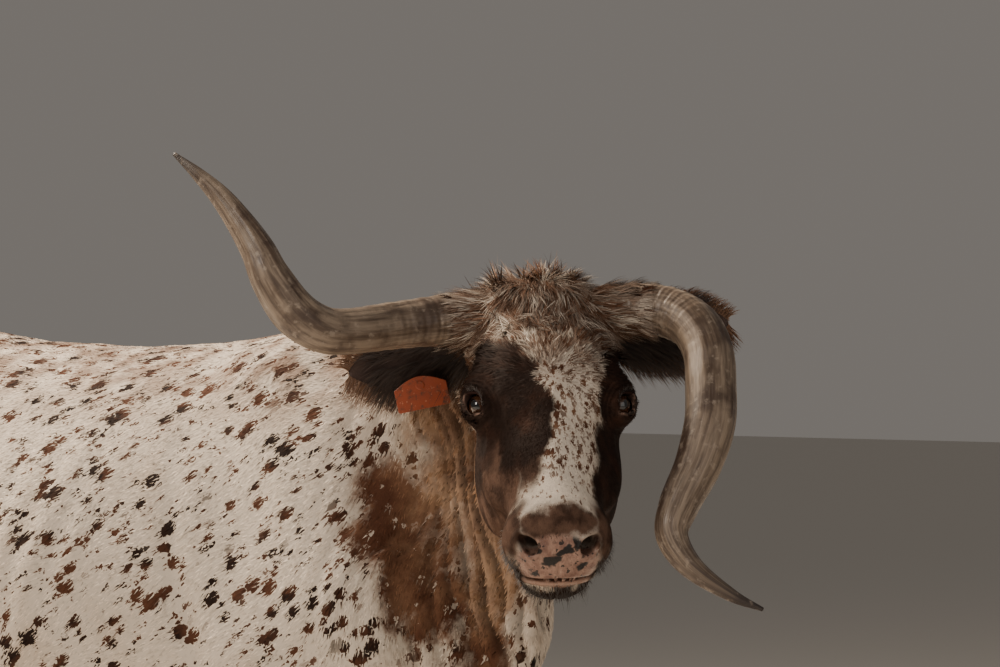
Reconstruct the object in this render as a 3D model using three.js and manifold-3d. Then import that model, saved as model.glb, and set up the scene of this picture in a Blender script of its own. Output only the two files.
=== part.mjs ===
// A life-size longhorn cow standing square, head turned to its right, as parted solids.
// Millimetres, +Z up. The cow faces -Y and its left side is towards +X.
// One distance field holds the body's whole form. Each node of flesh is a loft of rings
// cast outwards from a middle line until they meet that field.
import * as THREE from 'three';
import { LoftGeometry } from 'three/addons/geometries/LoftGeometry.js';
import { mergeVertices } from 'three/addons/utils/BufferGeometryUtils.js';
import Module from 'manifold-3d';

const wasm = await Module();
wasm.setup();

const V = (x, y, z) => new THREE.Vector3(x, y, z);
const radians = THREE.MathUtils.degToRad;
const { lerp, clamp } = THREE.MathUtils;

// How far apart two touching nodes are kept, and the field level their cutters are cast at
const GAP = 0.3;
const CLEARANCE = 0.6;
const FINEST_STEP = 0.02;
const SHORTEST_EDGE = 0.05;

// Trunk, by stations along Y: topline, underline, half width, and height of the widest place
const TRUNK = [
  { y: -800, top: 905, bottom: 715, half: 62, widest: 800 },
  { y: -700, top: 1085, bottom: 628, half: 165, widest: 850 },
  { y: -600, top: 1210, bottom: 602, half: 208, widest: 880 },
  { y: -450, top: 1268, bottom: 592, half: 232, widest: 880 },
  { y: -300, top: 1252, bottom: 588, half: 258, widest: 885 },
  { y: -100, top: 1240, bottom: 570, half: 292, widest: 880 },
  { y: 100, top: 1246, bottom: 562, half: 298, widest: 890 },
  { y: 260, top: 1260, bottom: 598, half: 268, widest: 950 },
  { y: 420, top: 1276, bottom: 682, half: 232, widest: 1080 },
  { y: 600, top: 1284, bottom: 775, half: 205, widest: 1060 },
  { y: 720, top: 1264, bottom: 870, half: 160, widest: 1080 },
  { y: 830, top: 1205, bottom: 960, half: 112, widest: 1090 },
];
const TRUNK_FRONT = -815;
const TRUNK_REAR = 826;
const TRUNK_END_ROUNDING = 70;
const BACK_SHARPNESS = 1.85;
const BELLY_FULLNESS = 2.35;

// Head: where the poll is, which way the face points, and how steeply it hangs
const POLL = V(-130, -970, 1340);
const HEAD_YAW = radians(47);
const FACE_DROP = radians(38);
const EYE = { across: 92, along: 206, out: -62, radius: 21 };
const GAZE = { across: 0.6, along: 0.45, out: 0.62 };
const LID_THICKNESS = 5;
const LID_OPENING = { length: 38, height: 25, tilt: radians(14), inward: 0.8, depth: 34 };
const NOSTRIL = { across: 40, along: 480, out: -73 };
const MOUTH_CORNER = { along: 407, out: -139 };
const MOUTH_END = { along: 535, rise: 26 };
const MOUTH_OPENING = 5;
const JAW_REACH = 160;
const HEAD_REACH = 160;
const TRUNK_REACH = 420;
const BLOCK_SIZE = 2400;
const UPPER_LEG_REACH = 1.3;
const LOWER_LEG_REACH = 2.5;
const UPPER_LEG_SIDES = 16;
const LOWER_LEG_SIDES = 12;
const HORN_ROWS = 24;
const HORN_SIDES = 12;

// Legs from the trunk down: half spread, fore-and-aft place, height, and half sizes
const FORE_LEG = [
  { x: 160, y: -470, z: 790, wide: 60, deep: 125 },
  { x: 156, y: -452, z: 675, wide: 56, deep: 88 },
  { x: 148, y: -458, z: 550, wide: 45, deep: 60 },
  { x: 142, y: -468, z: 440, wide: 37, deep: 43 },
  { x: 140, y: -474, z: 375, wide: 45, deep: 43 },
  { x: 138, y: -472, z: 322, wide: 33, deep: 35 },
  { x: 134, y: -472, z: 230, wide: 27, deep: 30 },
  { x: 130, y: -476, z: 145, wide: 39, deep: 40 },
  { x: 130, y: -500, z: 104, wide: 38, deep: 35 },
  { x: 130, y: -520, z: 62, wide: 46, deep: 48 },
];
const HIND_LEG = [
  { x: 108, y: 612, z: 1160, wide: 58, deep: 140 },
  { x: 142, y: 596, z: 1030, wide: 72, deep: 182 },
  { x: 158, y: 575, z: 890, wide: 80, deep: 192 },
  { x: 163, y: 540, z: 750, wide: 70, deep: 148 },
  { x: 158, y: 638, z: 620, wide: 49, deep: 82 },
  { x: 151, y: 735, z: 520, wide: 36, deep: 56 },
  { x: 149, y: 757, z: 455, wide: 36, deep: 46 },
  { x: 146, y: 752, z: 330, wide: 28, deep: 34 },
  { x: 145, y: 743, z: 155, wide: 39, deep: 41 },
  { x: 145, y: 718, z: 106, wide: 38, deep: 36 },
  { x: 145, y: 698, z: 62, wide: 46, deep: 48 },
];
const KNEE_HEIGHT = 405;
const HOCK_HEIGHT = 585;
const CORONET = { height: 72, slope: radians(14) };
// How far each foot stands forward of its square place
const STRIDE = { fore_right: 34, fore_left: -30, hind_right: 46, hind_left: -34 };
const HOOF = {
  sole: { length: 122, width: 49, ahead: 16 },
  top: { length: 95, width: 45, ahead: 0 },
  cleft: 2.5,
};
const DEWCLAW = { spread: 21, behind: 30, height: 138, radius: 13, reach: 26, drop: 26, taper: 0.6 };

// Udder between the hind legs, with four teats
const UDDER = { y: 500, z: 684, radii: [88, 128, 88] };
const TEAT = { spread: 38, step: 46, radius: 11, length: 46, top: 640 };

// Horns, from the skull to the tip, beside, ahead of and above the poll, with their radius
const RIGHT_HORN = [
  { across: -58, ahead: -8, up: -52, radius: 31 },
  { across: -124, ahead: -6, up: -57, radius: 35 },
  { across: -203, ahead: 31, up: -65, radius: 33.5 },
  { across: -273, ahead: 84, up: -73, radius: 32.5 },
  { across: -312, ahead: 108, up: -70, radius: 33 },
  { across: -344, ahead: 121, up: -50, radius: 33 },
  { across: -378, ahead: 124, up: -4, radius: 29 },
  { across: -398, ahead: 117, up: 38, radius: 24.5 },
  { across: -441, ahead: 89, up: 103, radius: 16 },
  { across: -479, ahead: 61, up: 142, radius: 9.5 },
  { across: -511, ahead: 34, up: 170, radius: 3 },
];
const LEFT_HORN = [
  { across: 64, ahead: -4, up: -44, radius: 32 },
  { across: 132, ahead: 2, up: -44, radius: 36 },
  { across: 174, ahead: 20, up: -49, radius: 36 },
  { across: 205, ahead: 48, up: -68, radius: 36 },
  { across: 222, ahead: 78, up: -104, radius: 36 },
  { across: 222, ahead: 108, up: -150, radius: 36 },
  { across: 218, ahead: 136, up: -198, radius: 36 },
  { across: 200, ahead: 165, up: -253, radius: 33 },
  { across: 171, ahead: 191, up: -309, radius: 28 },
  { across: 160, ahead: 207, up: -345, radius: 23 },
  { across: 182, ahead: 224, up: -386, radius: 17 },
  { across: 238, ahead: 240, up: -427, radius: 9.5 },
  { across: 280, ahead: 249, up: -446, radius: 3 },
];

// Ears: root and tip beside, ahead of and above the poll; tag in the right ear
const RIGHT_EAR = {
  root: { across: -84, ahead: -62, up: -92 },
  tip: { across: -268, ahead: -92, up: -134 },
};
const LEFT_EAR = {
  root: { across: 84, ahead: -52, up: -88 },
  tip: { across: 262, ahead: -66, up: -62 },
};
const EAR_SECTIONS = [
  { t: 0, half: 15, cup: 14, thick: 18 },
  { t: 0.14, half: 27, cup: 27, thick: 16 },
  { t: 0.3, half: 38, cup: 30, thick: 9 },
  { t: 0.5, half: 45, cup: 27, thick: 7 },
  { t: 0.7, half: 41, cup: 20, thick: 6.5 },
  { t: 0.86, half: 27, cup: 11, thick: 6 },
  { t: 0.96, half: 12, cup: 4, thick: 5 },
  { t: 1, half: 4, cup: 1, thick: 3 },
];
const TAG = { across: -168, ahead: -52, up: -160, width: 74, height: 46, thickness: 2.4 };
const TAG_TURN = radians(12);
const TAG_PIN = { radius: 4, head: 11, reach: 26, cap: 3 };

// Tail, along its middle line
const TAIL_DOCK = [
  { y: 742, z: 1248, radius: 36 },
  { y: 806, z: 1226, radius: 31 },
  { y: 846, z: 1130, radius: 26 },
  { y: 853, z: 960, radius: 21 },
  { y: 850, z: 780, radius: 17 },
  { y: 848, z: 640, radius: 15 },
];
const SWITCH_CORE = [
  { y: 848, z: 638.8, radius: 14 },
  { y: 849, z: 570, radius: 20 },
  { y: 852, z: 490, radius: 19 },
  { y: 852, z: 420, radius: 9 },
];

// Locks of hair: their section at stations along them, in parts of the lock's width
const LOCK_SECTIONS = [
  { t: 0, half: 0.4, thick: 0.16 },
  { t: 0.35, half: 0.5, thick: 0.2 },
  { t: 0.72, half: 0.36, thick: 0.14 },
  { t: 1, half: 0.05, thick: 0.03 },
];
const LOCK_BEND = { along: 0.35, tipLift: 0.35 };
const CROWN_HAIR = {
  rows: [2, 36, 70, 104],
  stagger: 0.12,
  turnJitter: [-0.06, 0.06],
  rowJitter: [-8, 8],
  halfCore: 30,
  outward: 0.9,
  wander: [-0.25, 0.25],
  columns: 6,
  spread: radians(66),
  core: -62,
  length: [40, 58],
  width: [24, 32],
  lift: 13,
  sink: 8,
};
const HORN_HAIR = { count: 7, length: [44, 62], width: [20, 26], lift: 6, sink: 12 };
const SWITCH_HAIR = {
  count: 11,
  top: 622,
  bottom: 450,
  tips: [262, 350],
  sway: [-0.06, 0.06],
  width: [32, 44],
  lift: 30,
  seat: 12,
  sink: 6,
};
const FRINGE_HAIR = {
  count: 4,
  span: [0.2, 0.9],
  rim: 0.78,
  spread: [0.7, 1.1],
  length: [36, 56],
  width: [14, 19],
  lift: 3,
};
const CUP_HAIR = {
  count: 3,
  along: 0.3,
  across: 0.45,
  outward: 0.5,
  spread: 0.4,
  length: [44, 60],
  width: [13, 17],
  lift: 10,
};
const GOLDEN_TURN = radians(137.5);
const HORN_ROOM = 8;
const EAR_ROOM = 30;

// Head axes: across to its left, along the face to the nose, and out of the forehead
const AHEAD = V(-Math.sin(HEAD_YAW), -Math.cos(HEAD_YAW), 0);
const ACROSS = V(Math.cos(HEAD_YAW), -Math.sin(HEAD_YAW), 0);
const ALONG = AHEAD.clone().multiplyScalar(Math.cos(FACE_DROP)).setZ(-Math.sin(FACE_DROP));
const OUT = AHEAD.clone().multiplyScalar(Math.sin(FACE_DROP)).setZ(Math.cos(FACE_DROP));
const HEAD_AXES = [ACROSS, ALONG, OUT];
const BODY_AXES = [V(1, 0, 0), V(0, 1, 0), V(0, 0, 1)];

function headPoint(across, along, out) {
  return POLL.clone().addScaledVector(ACROSS, across).addScaledVector(ALONG, along).addScaledVector(OUT, out);
}

function besidePoll({ across, ahead, up }) {
  return POLL.clone().addScaledVector(ACROSS, across).addScaledVector(AHEAD, ahead).add(V(0, 0, up));
}

// Distance-field shapes: each takes a point and gives about how far outside the shape it is.

function ellipsoidDistance(coords, radii) {
  const scaled = Math.hypot(coords[0] / radii[0], coords[1] / radii[1], coords[2] / radii[2]);
  const steep = Math.hypot(
    coords[0] / radii[0] ** 2,
    coords[1] / radii[1] ** 2,
    coords[2] / radii[2] ** 2,
  );
  return steep > 1e-9 ? (scaled * (scaled - 1)) / steep : -Math.min(...radii);
}

// An ellipsoid with its three radii along the given axes.
function blob(centre, radii, axes = BODY_AXES) {
  return (p) => {
    const offset = p.clone().sub(centre);
    return ellipsoidDistance(axes.map((axis) => offset.dot(axis)), radii);
  };
}

// A tapered bar with an oval section between two joints, wide along the side direction.
function bar(from, to, side) {
  const axis = to.at.clone().sub(from.at);
  const reach = axis.length();
  const direction = axis.clone().divideScalar(reach);
  const wideways = side.clone().addScaledVector(direction, -side.dot(direction)).normalize();
  const deepways = direction.clone().cross(wideways);
  return (p) => {
    const offset = p.clone().sub(from.at);
    const t = clamp(offset.dot(direction) / reach, 0, 1);
    offset.addScaledVector(direction, -t * reach);
    const wide = lerp(from.wide, to.wide, t);
    const deep = lerp(from.deep, to.deep, t);
    const coords = [offset.dot(wideways), offset.dot(deepways), offset.dot(direction)];
    return ellipsoidDistance(coords, [wide, deep, Math.min(wide, deep)]);
  };
}

function smoothUnion(a, b, blend) {
  const near = Math.max(blend - Math.abs(a - b), 0) / blend;
  return Math.min(a, b) - (near * near * blend) / 4;
}

function smoothCut(a, b, blend) {
  return -smoothUnion(-a, b, blend);
}

// Several shapes blended one after another; a shape with cut set is taken away.
function blended(parts) {
  return (p) =>
    parts.reduce(
      (sum, { shape, blend, cut }) => (cut ? smoothCut : smoothUnion)(sum, shape(p), blend),
      1e6,
    );
}

function chain(joints, side, blend) {
  const links = joints.slice(1).map((joint, i) => ({ shape: bar(joints[i], joint, side), blend }));
  return blended(links);
}

// A smooth curve through stations sorted by a key, with no overshoot between them.
function profile(stations, key, value) {
  const at = stations.map((station) => station[key]);
  const values = stations.map((station) => station[value]);
  const slope = at.slice(1).map((x, i) => (values[i + 1] - values[i]) / (x - at[i]));
  const tangent = values.map((_, i) => {
    if (i === 0 || i === values.length - 1) return slope[Math.min(i, slope.length - 1)];
    const product = slope[i - 1] * slope[i];
    return product <= 0 ? 0 : (2 * product) / (slope[i - 1] + slope[i]);
  });
  return (x) => {
    const held = clamp(x, at[0], at[at.length - 1]);
    let i = 0;
    while (i < at.length - 2 && held > at[i + 1]) i += 1;
    const span = at[i + 1] - at[i];
    const t = (held - at[i]) / span;
    const rise = t * t * (3 - 2 * t);
    const bends = t * (1 - t) * ((1 - t) * tangent[i] - t * tangent[i + 1]) * span;
    return lerp(values[i], values[i + 1], rise) + bends;
  };
}

const trunkTop = profile(TRUNK, 'y', 'top');
const trunkBottom = profile(TRUNK, 'y', 'bottom');
const trunkHalf = profile(TRUNK, 'y', 'half');
const trunkWidest = profile(TRUNK, 'y', 'widest');

// The barrel of the body: an egg-shaped section that follows the trunk's stations.
function trunkShape(p) {
  const middle = trunkWidest(p.y);
  const rise = p.z - middle;
  const height = rise > 0 ? trunkTop(p.y) - middle : middle - trunkBottom(p.y);
  const power = rise > 0 ? BACK_SHARPNESS : BELLY_FULLNESS;
  const across = Math.abs(p.x) / trunkHalf(p.y);
  const scaled = (across ** power + (Math.abs(rise) / height) ** power) ** (1 / power);
  const reach = Math.max(Math.hypot(p.x, rise), 1);
  const section = scaled > 0.02 ? reach * (1 - 1 / scaled) : -height;
  const ends = Math.max(TRUNK_FRONT - p.y, p.y - TRUNK_REAR);
  return -smoothUnion(-section, -ends, TRUNK_END_ROUNDING);
}

const LEFTWARDS = V(1, 0, 0);
const joint = (at, wide, deep) => ({ at, wide, deep });
const bothSides = (make) => [-1, 1].map(make);

// Neck, from inside the shoulders to behind the jaw, and the dewlap under it
const CREST_LINE = [
  joint(V(0, -560, 1060), 140, 200),
  joint(V(-15, -680, 1142), 108, 140),
  joint(V(-50, -790, 1214), 86, 92),
  joint(V(-94, -900, 1258), 70, 66),
];
const GULLET_LINE = [
  joint(V(0, -640, 860), 122, 165),
  joint(V(-18, -755, 952), 86, 118),
  joint(V(-40, -826, 1044), 62, 80),
  joint(V(-60, -884, 1132), 52, 54),
];
const DEWLAP_LINE = [
  joint(V(-84, -900, 1085), 20, 46),
  joint(V(-60, -866, 985), 20, 62),
  joint(V(-34, -836, 860), 22, 78),
  joint(V(-10, -790, 735), 26, 88),
  joint(V(0, -690, 650), 30, 66),
  joint(V(0, -560, 622), 32, 48),
];
const TURNED_SIDE = V(0.9, -0.43, 0);
const neckShape = blended([
  { shape: chain(CREST_LINE, TURNED_SIDE, 60), blend: 1 },
  { shape: chain(GULLET_LINE, TURNED_SIDE, 60), blend: 60 },
]);
const dewlapShape = chain(DEWLAP_LINE, TURNED_SIDE, 40);

const shoulderShapes = bothSides((side) =>
  blended([
    {
      shape: bar(
        joint(V(side * 92, -430, 1165), 44, 92),
        joint(V(side * 160, -640, 890), 62, 108),
        LEFTWARDS,
      ),
      blend: 30,
    },
    { shape: blob(V(side * 158, -520, 800), [62, 128, 128]), blend: 50 },
    { shape: blob(V(side * 156, -672, 842), [54, 66, 74]), blend: 50 },
  ]),
);
const hipShapes = bothSides((side) =>
  blended([
    { shape: blob(V(side * 188, 415, 1196), [42, 74, 38]), blend: 36 },
    {
      shape: bar(
        joint(V(side * 186, 420, 1200), 30, 30),
        joint(V(side * 92, 770, 1150), 34, 46),
        LEFTWARDS,
      ),
      blend: 40,
    },
  ]),
);
const hollowShapes = bothSides((side) => blob(V(side * 268, 330, 1136), [34, 84, 62]));

const trunkField = blended([
  { shape: trunkShape, blend: 1 },
  ...shoulderShapes.map((shape) => ({ shape, blend: 70 })),
  ...hipShapes.map((shape) => ({ shape, blend: 60 })),
  ...hollowShapes.map((shape) => ({ shape, blend: 60, cut: true })),
]);

// Head: skull, orbits, cheeks, nose and muzzle, in the head's own axes
const headBlob = (across, along, out, radii) => blob(headPoint(across, along, out), radii, HEAD_AXES);
const headBar = (from, to) =>
  bar(
    joint(headPoint(from[0], from[1], from[2]), from[3], from[4]),
    joint(headPoint(to[0], to[1], to[2]), to[3], to[4]),
    ACROSS,
  );
const skullField = blended([
  { shape: headBlob(0, 56, -112, [90, 98, 92]), blend: 1 },
  { shape: headBlob(0, 22, -43, [102, 46, 45]), blend: 40 },
  { shape: headBlob(0, 140, -52, [98, 140, 52]), blend: 40 },
  { shape: headBar([0, 170, -92, 88, 84], [0, 307, -98, 71, 67]), blend: 40 },
  { shape: headBar([0, 307, -98, 71, 67], [0, 414, -98, 61, 55]), blend: 30 },
  { shape: headBlob(0, 448, -98, [72, 56, 50]), blend: 40 },
  ...bothSides((side) => ({ shape: headBlob(side * 92, 190, -65, [30, 44, 31]), blend: 26 })),
  ...bothSides((side) => ({ shape: headBlob(side * 63, 226, -166, [38, 102, 76]), blend: 40 })),
  ...bothSides((side) => ({ shape: headBlob(side * 66, 290, -118, [24, 54, 24]), blend: 30 })),
]);
const jawField = blended([
  ...bothSides((side) => ({
    shape: headBar([side * 50, 176, -206, 28, 38], [side * 30, 375, -156, 25, 25]),
    blend: 30,
  })),
  { shape: headBar([0, 200, -192, 54, 42], [0, 405, -156, 38, 26]), blend: 30 },
  { shape: headBlob(0, 444, -159, [48, 37, 29]), blend: 26 },
]);
const headField = blended([
  { shape: skullField, blend: 1 },
  { shape: jawField, blend: 26 },
  { shape: neckShape, blend: 60 },
]);

const LEGS = ['fore_right', 'fore_left', 'hind_right', 'hind_left'].map((name) => {
  const side = name.endsWith('right') ? -1 : 1;
  const fore = name.startsWith('fore');
  const line = fore ? FORE_LEG : HIND_LEG;
  const top = line[0].z;
  const joints = line.map(({ x, y, z, wide, deep }) =>
    joint(V(side * x, y - (STRIDE[name] * (top - z)) / top, z), wide, deep),
  );
  return { name, side, fore, joints, shape: chain(joints, LEFTWARDS, 24) };
});

const torsoField = blended([
  { shape: trunkField, blend: 1 },
  { shape: neckShape, blend: 90 },
]);

// Rings: a frame holds a middle point, the two directions its ring is cast in, and how far
// the rays may reach along each.

function frameAt(centre, yaw, lean, wide, deep) {
  const ahead = V(-Math.sin(yaw), -Math.cos(yaw), 0);
  const side = V(Math.cos(yaw), -Math.sin(yaw), 0);
  const up = ahead.multiplyScalar(Math.sin(lean)).setZ(Math.cos(lean));
  return { centre, side, up, wide, deep };
}

function headFrame(along, out) {
  return { centre: headPoint(0, along, out), side: ACROSS, up: OUT, wide: HEAD_REACH, deep: HEAD_REACH };
}

function movedAlong(frame, distance) {
  const normal = frame.side.clone().cross(frame.up).normalize();
  return { ...frame, centre: frame.centre.clone().addScaledVector(normal, distance) };
}

// Frames with half the gap taken off each end of the run
function spaced(frames) {
  const inward = frames[1].centre.clone().sub(frames[0].centre);
  const normal = frames[0].side.clone().cross(frames[0].up);
  const half = (Math.sign(inward.dot(normal)) * GAP) / 2;
  const last = frames.length - 1;
  return frames.map((frame, i) => movedAlong(frame, i === 0 ? half : i === last ? -half : 0));
}

function steps(count, from, to) {
  return Array.from({ length: count + 1 }, (_, i) => lerp(from, to, i / count));
}

// The distance from a point along a direction to where the field reaches a level.
function castRay(field, from, direction, reach, level) {
  let near = 0;
  let far = 0;
  const at = (distance) => field(from.clone().addScaledVector(direction, distance)) - level;
  let value = at(0);
  while (value < 0 && far < reach) {
    near = far;
    far = Math.min(far + Math.max(-value * 0.6, 3), reach);
    value = at(far);
  }
  if (value < 0) return reach;
  while (far - near > FINEST_STEP) {
    const middle = (near + far) / 2;
    if (at(middle) < 0) near = middle;
    else far = middle;
  }
  return (near + far) / 2;
}

// The points where rays from the frame's middle meet the field, in an oval spread.
function castRing(frame, field, sides, level) {
  return steps(sides, 0, 2 * Math.PI)
    .slice(0, sides)
    .map((turn) => {
      const oval = frame.side
        .clone()
        .multiplyScalar(Math.cos(turn) * frame.wide)
        .addScaledVector(frame.up, Math.sin(turn) * frame.deep);
      const reach = oval.length() + level;
      const direction = oval.normalize();
      const distance = castRay(field, frame.centre, direction, reach, level);
      return frame.centre.clone().addScaledVector(direction, distance);
    });
}

// Solids

function solidFrom(geometry) {
  const bare = new THREE.BufferGeometry().setAttribute('position', geometry.getAttribute('position'));
  const merged = mergeVertices(bare.setIndex(geometry.index), 1e-3);
  const vertProperties = new Float32Array(merged.attributes.position.array);
  const triVerts = new Uint32Array(merged.index.array);
  return new wasm.Manifold(new wasm.Mesh({ numProp: 3, vertProperties, triVerts }));
}

// A closed loft through rings of points, whichever way round the rings run.
function loftOf(rings) {
  const facing = V(0, 0, 0);
  rings[0].forEach((p, i) => facing.add(p.clone().cross(rings[0][(i + 1) % rings[0].length])));
  const onward = rings[1][0].clone().sub(rings[0][0]);
  const rows = facing.dot(onward) > 0 ? rings : rings.map((ring) => ring.slice().reverse());
  return solidFrom(new LoftGeometry(rows, { closed: true, capStart: true, capEnd: true }));
}

function castLoft(frames, field, sides, level = 0) {
  return loftOf(frames.map((frame) => castRing(frame, field, sides, level)));
}

// A round bar along a smooth line through points with their radii
function tube(points, rows, sides, firstNormal = V(0, 0, 1)) {
  const middles = new THREE.CatmullRomCurve3(points.map(({ at }) => at));
  const radii = new THREE.CatmullRomCurve3(points.map(({ radius }) => V(radius, 0, 0)));
  const normal = firstNormal.clone();
  const rings = steps(rows, 0, 1).map((t) => {
    const tangent = middles.getTangent(t);
    normal.addScaledVector(tangent, -normal.dot(tangent)).normalize();
    const across = tangent.clone().cross(normal);
    const radius = radii.getPoint(t).x;
    return ovalRing(middles.getPoint(t), normal, across, radius, radius, sides);
  });
  return loftOf(rings);
}

function ovalRing(centre, side, up, wide, deep, sides) {
  return steps(sides, 0, 2 * Math.PI)
    .slice(0, sides)
    .map((turn) =>
      centre
        .clone()
        .addScaledVector(side, Math.cos(turn) * wide)
        .addScaledVector(up, Math.sin(turn) * deep),
    );
}

function placed(geometry, centre, axes) {
  const matrix = new THREE.Matrix4().makeBasis(axes[0], axes[1], axes[2]).setPosition(centre);
  return solidFrom(geometry.applyMatrix4(matrix));
}

// The largest closed body of a solid, with the shortest edges left by its cuts collapsed
function largest(solid) {
  const biggest = (whole) => whole.decompose().sort((a, b) => b.volume() - a.volume())[0];
  return biggest(biggest(solid).simplify(SHORTEST_EDGE));
}

const cut = (solid, ...cutters) => cutters.reduce((rest, cutter) => rest.subtract(cutter), solid);

// Finishes, and the parts as they are made
const finish = (color, roughness) => new THREE.MeshStandardMaterial({ color, roughness, metalness: 0 });
const COAT = finish(0xcbb8a4, 0.85);
const DARK_COAT = finish(0x4a2d1e, 0.85);
const HAIR = finish(0xb98f6c, 0.9);
const HORN_FINISH = finish(0x8a7a68, 0.45);
const HOOF_FINISH = finish(0x3b322b, 0.5);
const EYE_FINISH = finish(0x17100c, 0.08);
const BARE_SKIN = finish(0xc79a86, 0.6);
const TAG_FINISH = finish(0xd8672c, 0.5);
const parts = [];

function keep(name, solid, material) {
  parts.push({ name, solid: largest(solid), material });
}

// Head line: frames from the nose back, the last ones fanning round to the neck's first
const HEAD_SIDES = 34;
const FACE_STATIONS = [488, 480, 470, 456, 436, 412, 384, 354, 324, 294, 266, 243, 224, 205, 188];
const MIDDLE_OUT = [
  { along: 188, out: -130 },
  { along: 315, out: -112 },
  { along: 488, out: -106 },
];
const middleOut = profile(MIDDLE_OUT, 'along', 'out');
const FAN_THROAT = { from: 188, to: 84, out: -272 };
const FAN_CROWN = { from: 188, to: -25, out: -8 };

const fanPoint = ({ from, to, out }, t) => headPoint(0, lerp(from, to, t), out);

function fanFrame(t) {
  const throat = fanPoint(FAN_THROAT, t);
  const crown = fanPoint(FAN_CROWN, t);
  const up = crown.clone().sub(throat).normalize();
  const centre = crown.add(throat).multiplyScalar(0.5);
  return { centre, side: ACROSS, up, wide: HEAD_REACH, deep: HEAD_REACH };
}

const BROW = 0.28;
const faceFrames = [
  ...FACE_STATIONS.map((along) => headFrame(along, middleOut(along))),
  ...steps(2, 0, BROW).slice(1).map(fanFrame),
];
const pollFrames = steps(6, BROW, 1).map(fanFrame);
const headClear = castLoft([...faceFrames, ...pollFrames.slice(1)], headField, HEAD_SIDES, CLEARANCE);

// Neck line: each ring's plane runs from the throat to the crest, turning from the head's
// direction to the trunk's
const NECK_SIDES = 26;
const CREST = [fanPoint(FAN_CROWN, 1), V(-78, -812, 1318), V(-26, -650, 1296), V(0, -486, 1280)];
const THROAT = [fanPoint(FAN_THROAT, 1), V(-26, -838, 1012), V(-8, -812, 944), V(0, -796, 884)];
const NECK_YAWS = [47, 36, 16, 0];
const crestLine = new THREE.CatmullRomCurve3(CREST);
const throatLine = new THREE.CatmullRomCurve3(THROAT);
const neckYaws = new THREE.CatmullRomCurve3(NECK_YAWS.map((yaw) => V(yaw, 0, 0)));

function neckFrame(t) {
  const crest = crestLine.getPoint(t);
  const throat = throatLine.getPoint(t);
  const yaw = radians(neckYaws.getPoint(t).x);
  const up = crest.clone().sub(throat).normalize();
  const side = V(Math.cos(yaw), -Math.sin(yaw), 0);
  side.addScaledVector(up, -side.dot(up)).normalize();
  return { centre: crest.add(throat).multiplyScalar(0.5), side, up, wide: TRUNK_REACH, deep: TRUNK_REACH };
}

// Trunk line: upright rings from the chest to the tail
const TRUNK_SIDES = 26;
const CHEST_STATIONS = [-790, -776, -750, -705, -640, -560, -480, -400, -320];
const RIB_STATIONS = steps(6, -320, 300);
const RUMP_STATIONS = [...steps(7, 300, 740), 770, 792, 803, 809];

function crossFrame(y) {
  const rise = (trunkTop(y) - trunkBottom(y)) / 2;
  return frameAt(V(0, y, trunkBottom(y) + rise), 0, 0, TRUNK_REACH, TRUNK_REACH * 1.15);
}

// Everything behind a frame's plane, as a large block
function behind(frame, distance) {
  const forward = frame.side.clone().cross(frame.up);
  const half = BLOCK_SIZE / 2;
  const centre = frame.centre.clone().addScaledVector(forward, -half - distance);
  const block = new THREE.BoxGeometry(BLOCK_SIZE, BLOCK_SIZE, BLOCK_SIZE);
  return placed(block, centre, [frame.side, frame.up, forward]);
}

const trunkStations = [...CHEST_STATIONS, ...RIB_STATIONS.slice(1), ...RUMP_STATIONS.slice(1)];
const trunkClear = castLoft(trunkStations.map(crossFrame), torsoField, TRUNK_SIDES, CLEARANCE);
const neckFrames = [fanFrame(1), ...steps(9, 0, 1).slice(1).map(neckFrame)];
const neckClear = castLoft(neckFrames, torsoField, NECK_SIDES, CLEARANCE);
const chest = castLoft(spaced(CHEST_STATIONS.map(crossFrame)), torsoField, TRUNK_SIDES);
const neckLoft = castLoft(spaced(neckFrames), torsoField, NECK_SIDES);
const [neckStart, neckEnd] = [neckFrames[0], neckFrame(1)];
keep('neck', cut(neckLoft.intersect(behind(neckStart, GAP / 2)), behind(neckEnd, -GAP / 2)), DARK_COAT);
keep('forequarters', chest.intersect(behind(neckEnd, GAP / 2)), COAT);
keep('barrel', castLoft(spaced(RIB_STATIONS.map(crossFrame)), torsoField, TRUNK_SIDES), COAT);
keep('hindquarters', castLoft(spaced(RUMP_STATIONS.map(crossFrame)), torsoField, TRUNK_SIDES), COAT);

// Eyes with their lids
function eyeParts(side) {
  const centre = headPoint(side * EYE.across, EYE.along, EYE.out);
  const gaze = V(0, 0, 0)
    .addScaledVector(ACROSS, side * GAZE.across)
    .addScaledVector(ALONG, GAZE.along)
    .addScaledVector(OUT, GAZE.out)
    .normalize();
  const noseward = ALONG.clone()
    .addScaledVector(OUT, -Math.tan(LID_OPENING.tilt))
    .addScaledVector(ACROSS, -side * LID_OPENING.inward);
  noseward.addScaledVector(gaze, -noseward.dot(gaze)).normalize();
  const lidward = gaze.clone().cross(noseward);
  const axes = [noseward, lidward, gaze];
  const globe = (radius) => placed(new THREE.SphereGeometry(radius, 14, 9), centre, axes);
  const half = LID_OPENING.length / 2;
  const almond = new THREE.Shape()
    .moveTo(-half, 0)
    .quadraticCurveTo(0, LID_OPENING.height, half, 0)
    .quadraticCurveTo(0, -LID_OPENING.height, -half, 0);
  const { depth } = LID_OPENING;
  const slit = new THREE.ExtrudeGeometry(almond, { depth, bevelEnabled: false, curveSegments: 6 });
  return {
    ball: globe(EYE.radius),
    socket: globe(EYE.radius + CLEARANCE),
    lids: globe(EYE.radius + LID_THICKNESS),
    room: globe(EYE.radius + LID_THICKNESS + CLEARANCE),
    opening: placed(slit, centre, axes),
  };
}

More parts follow.
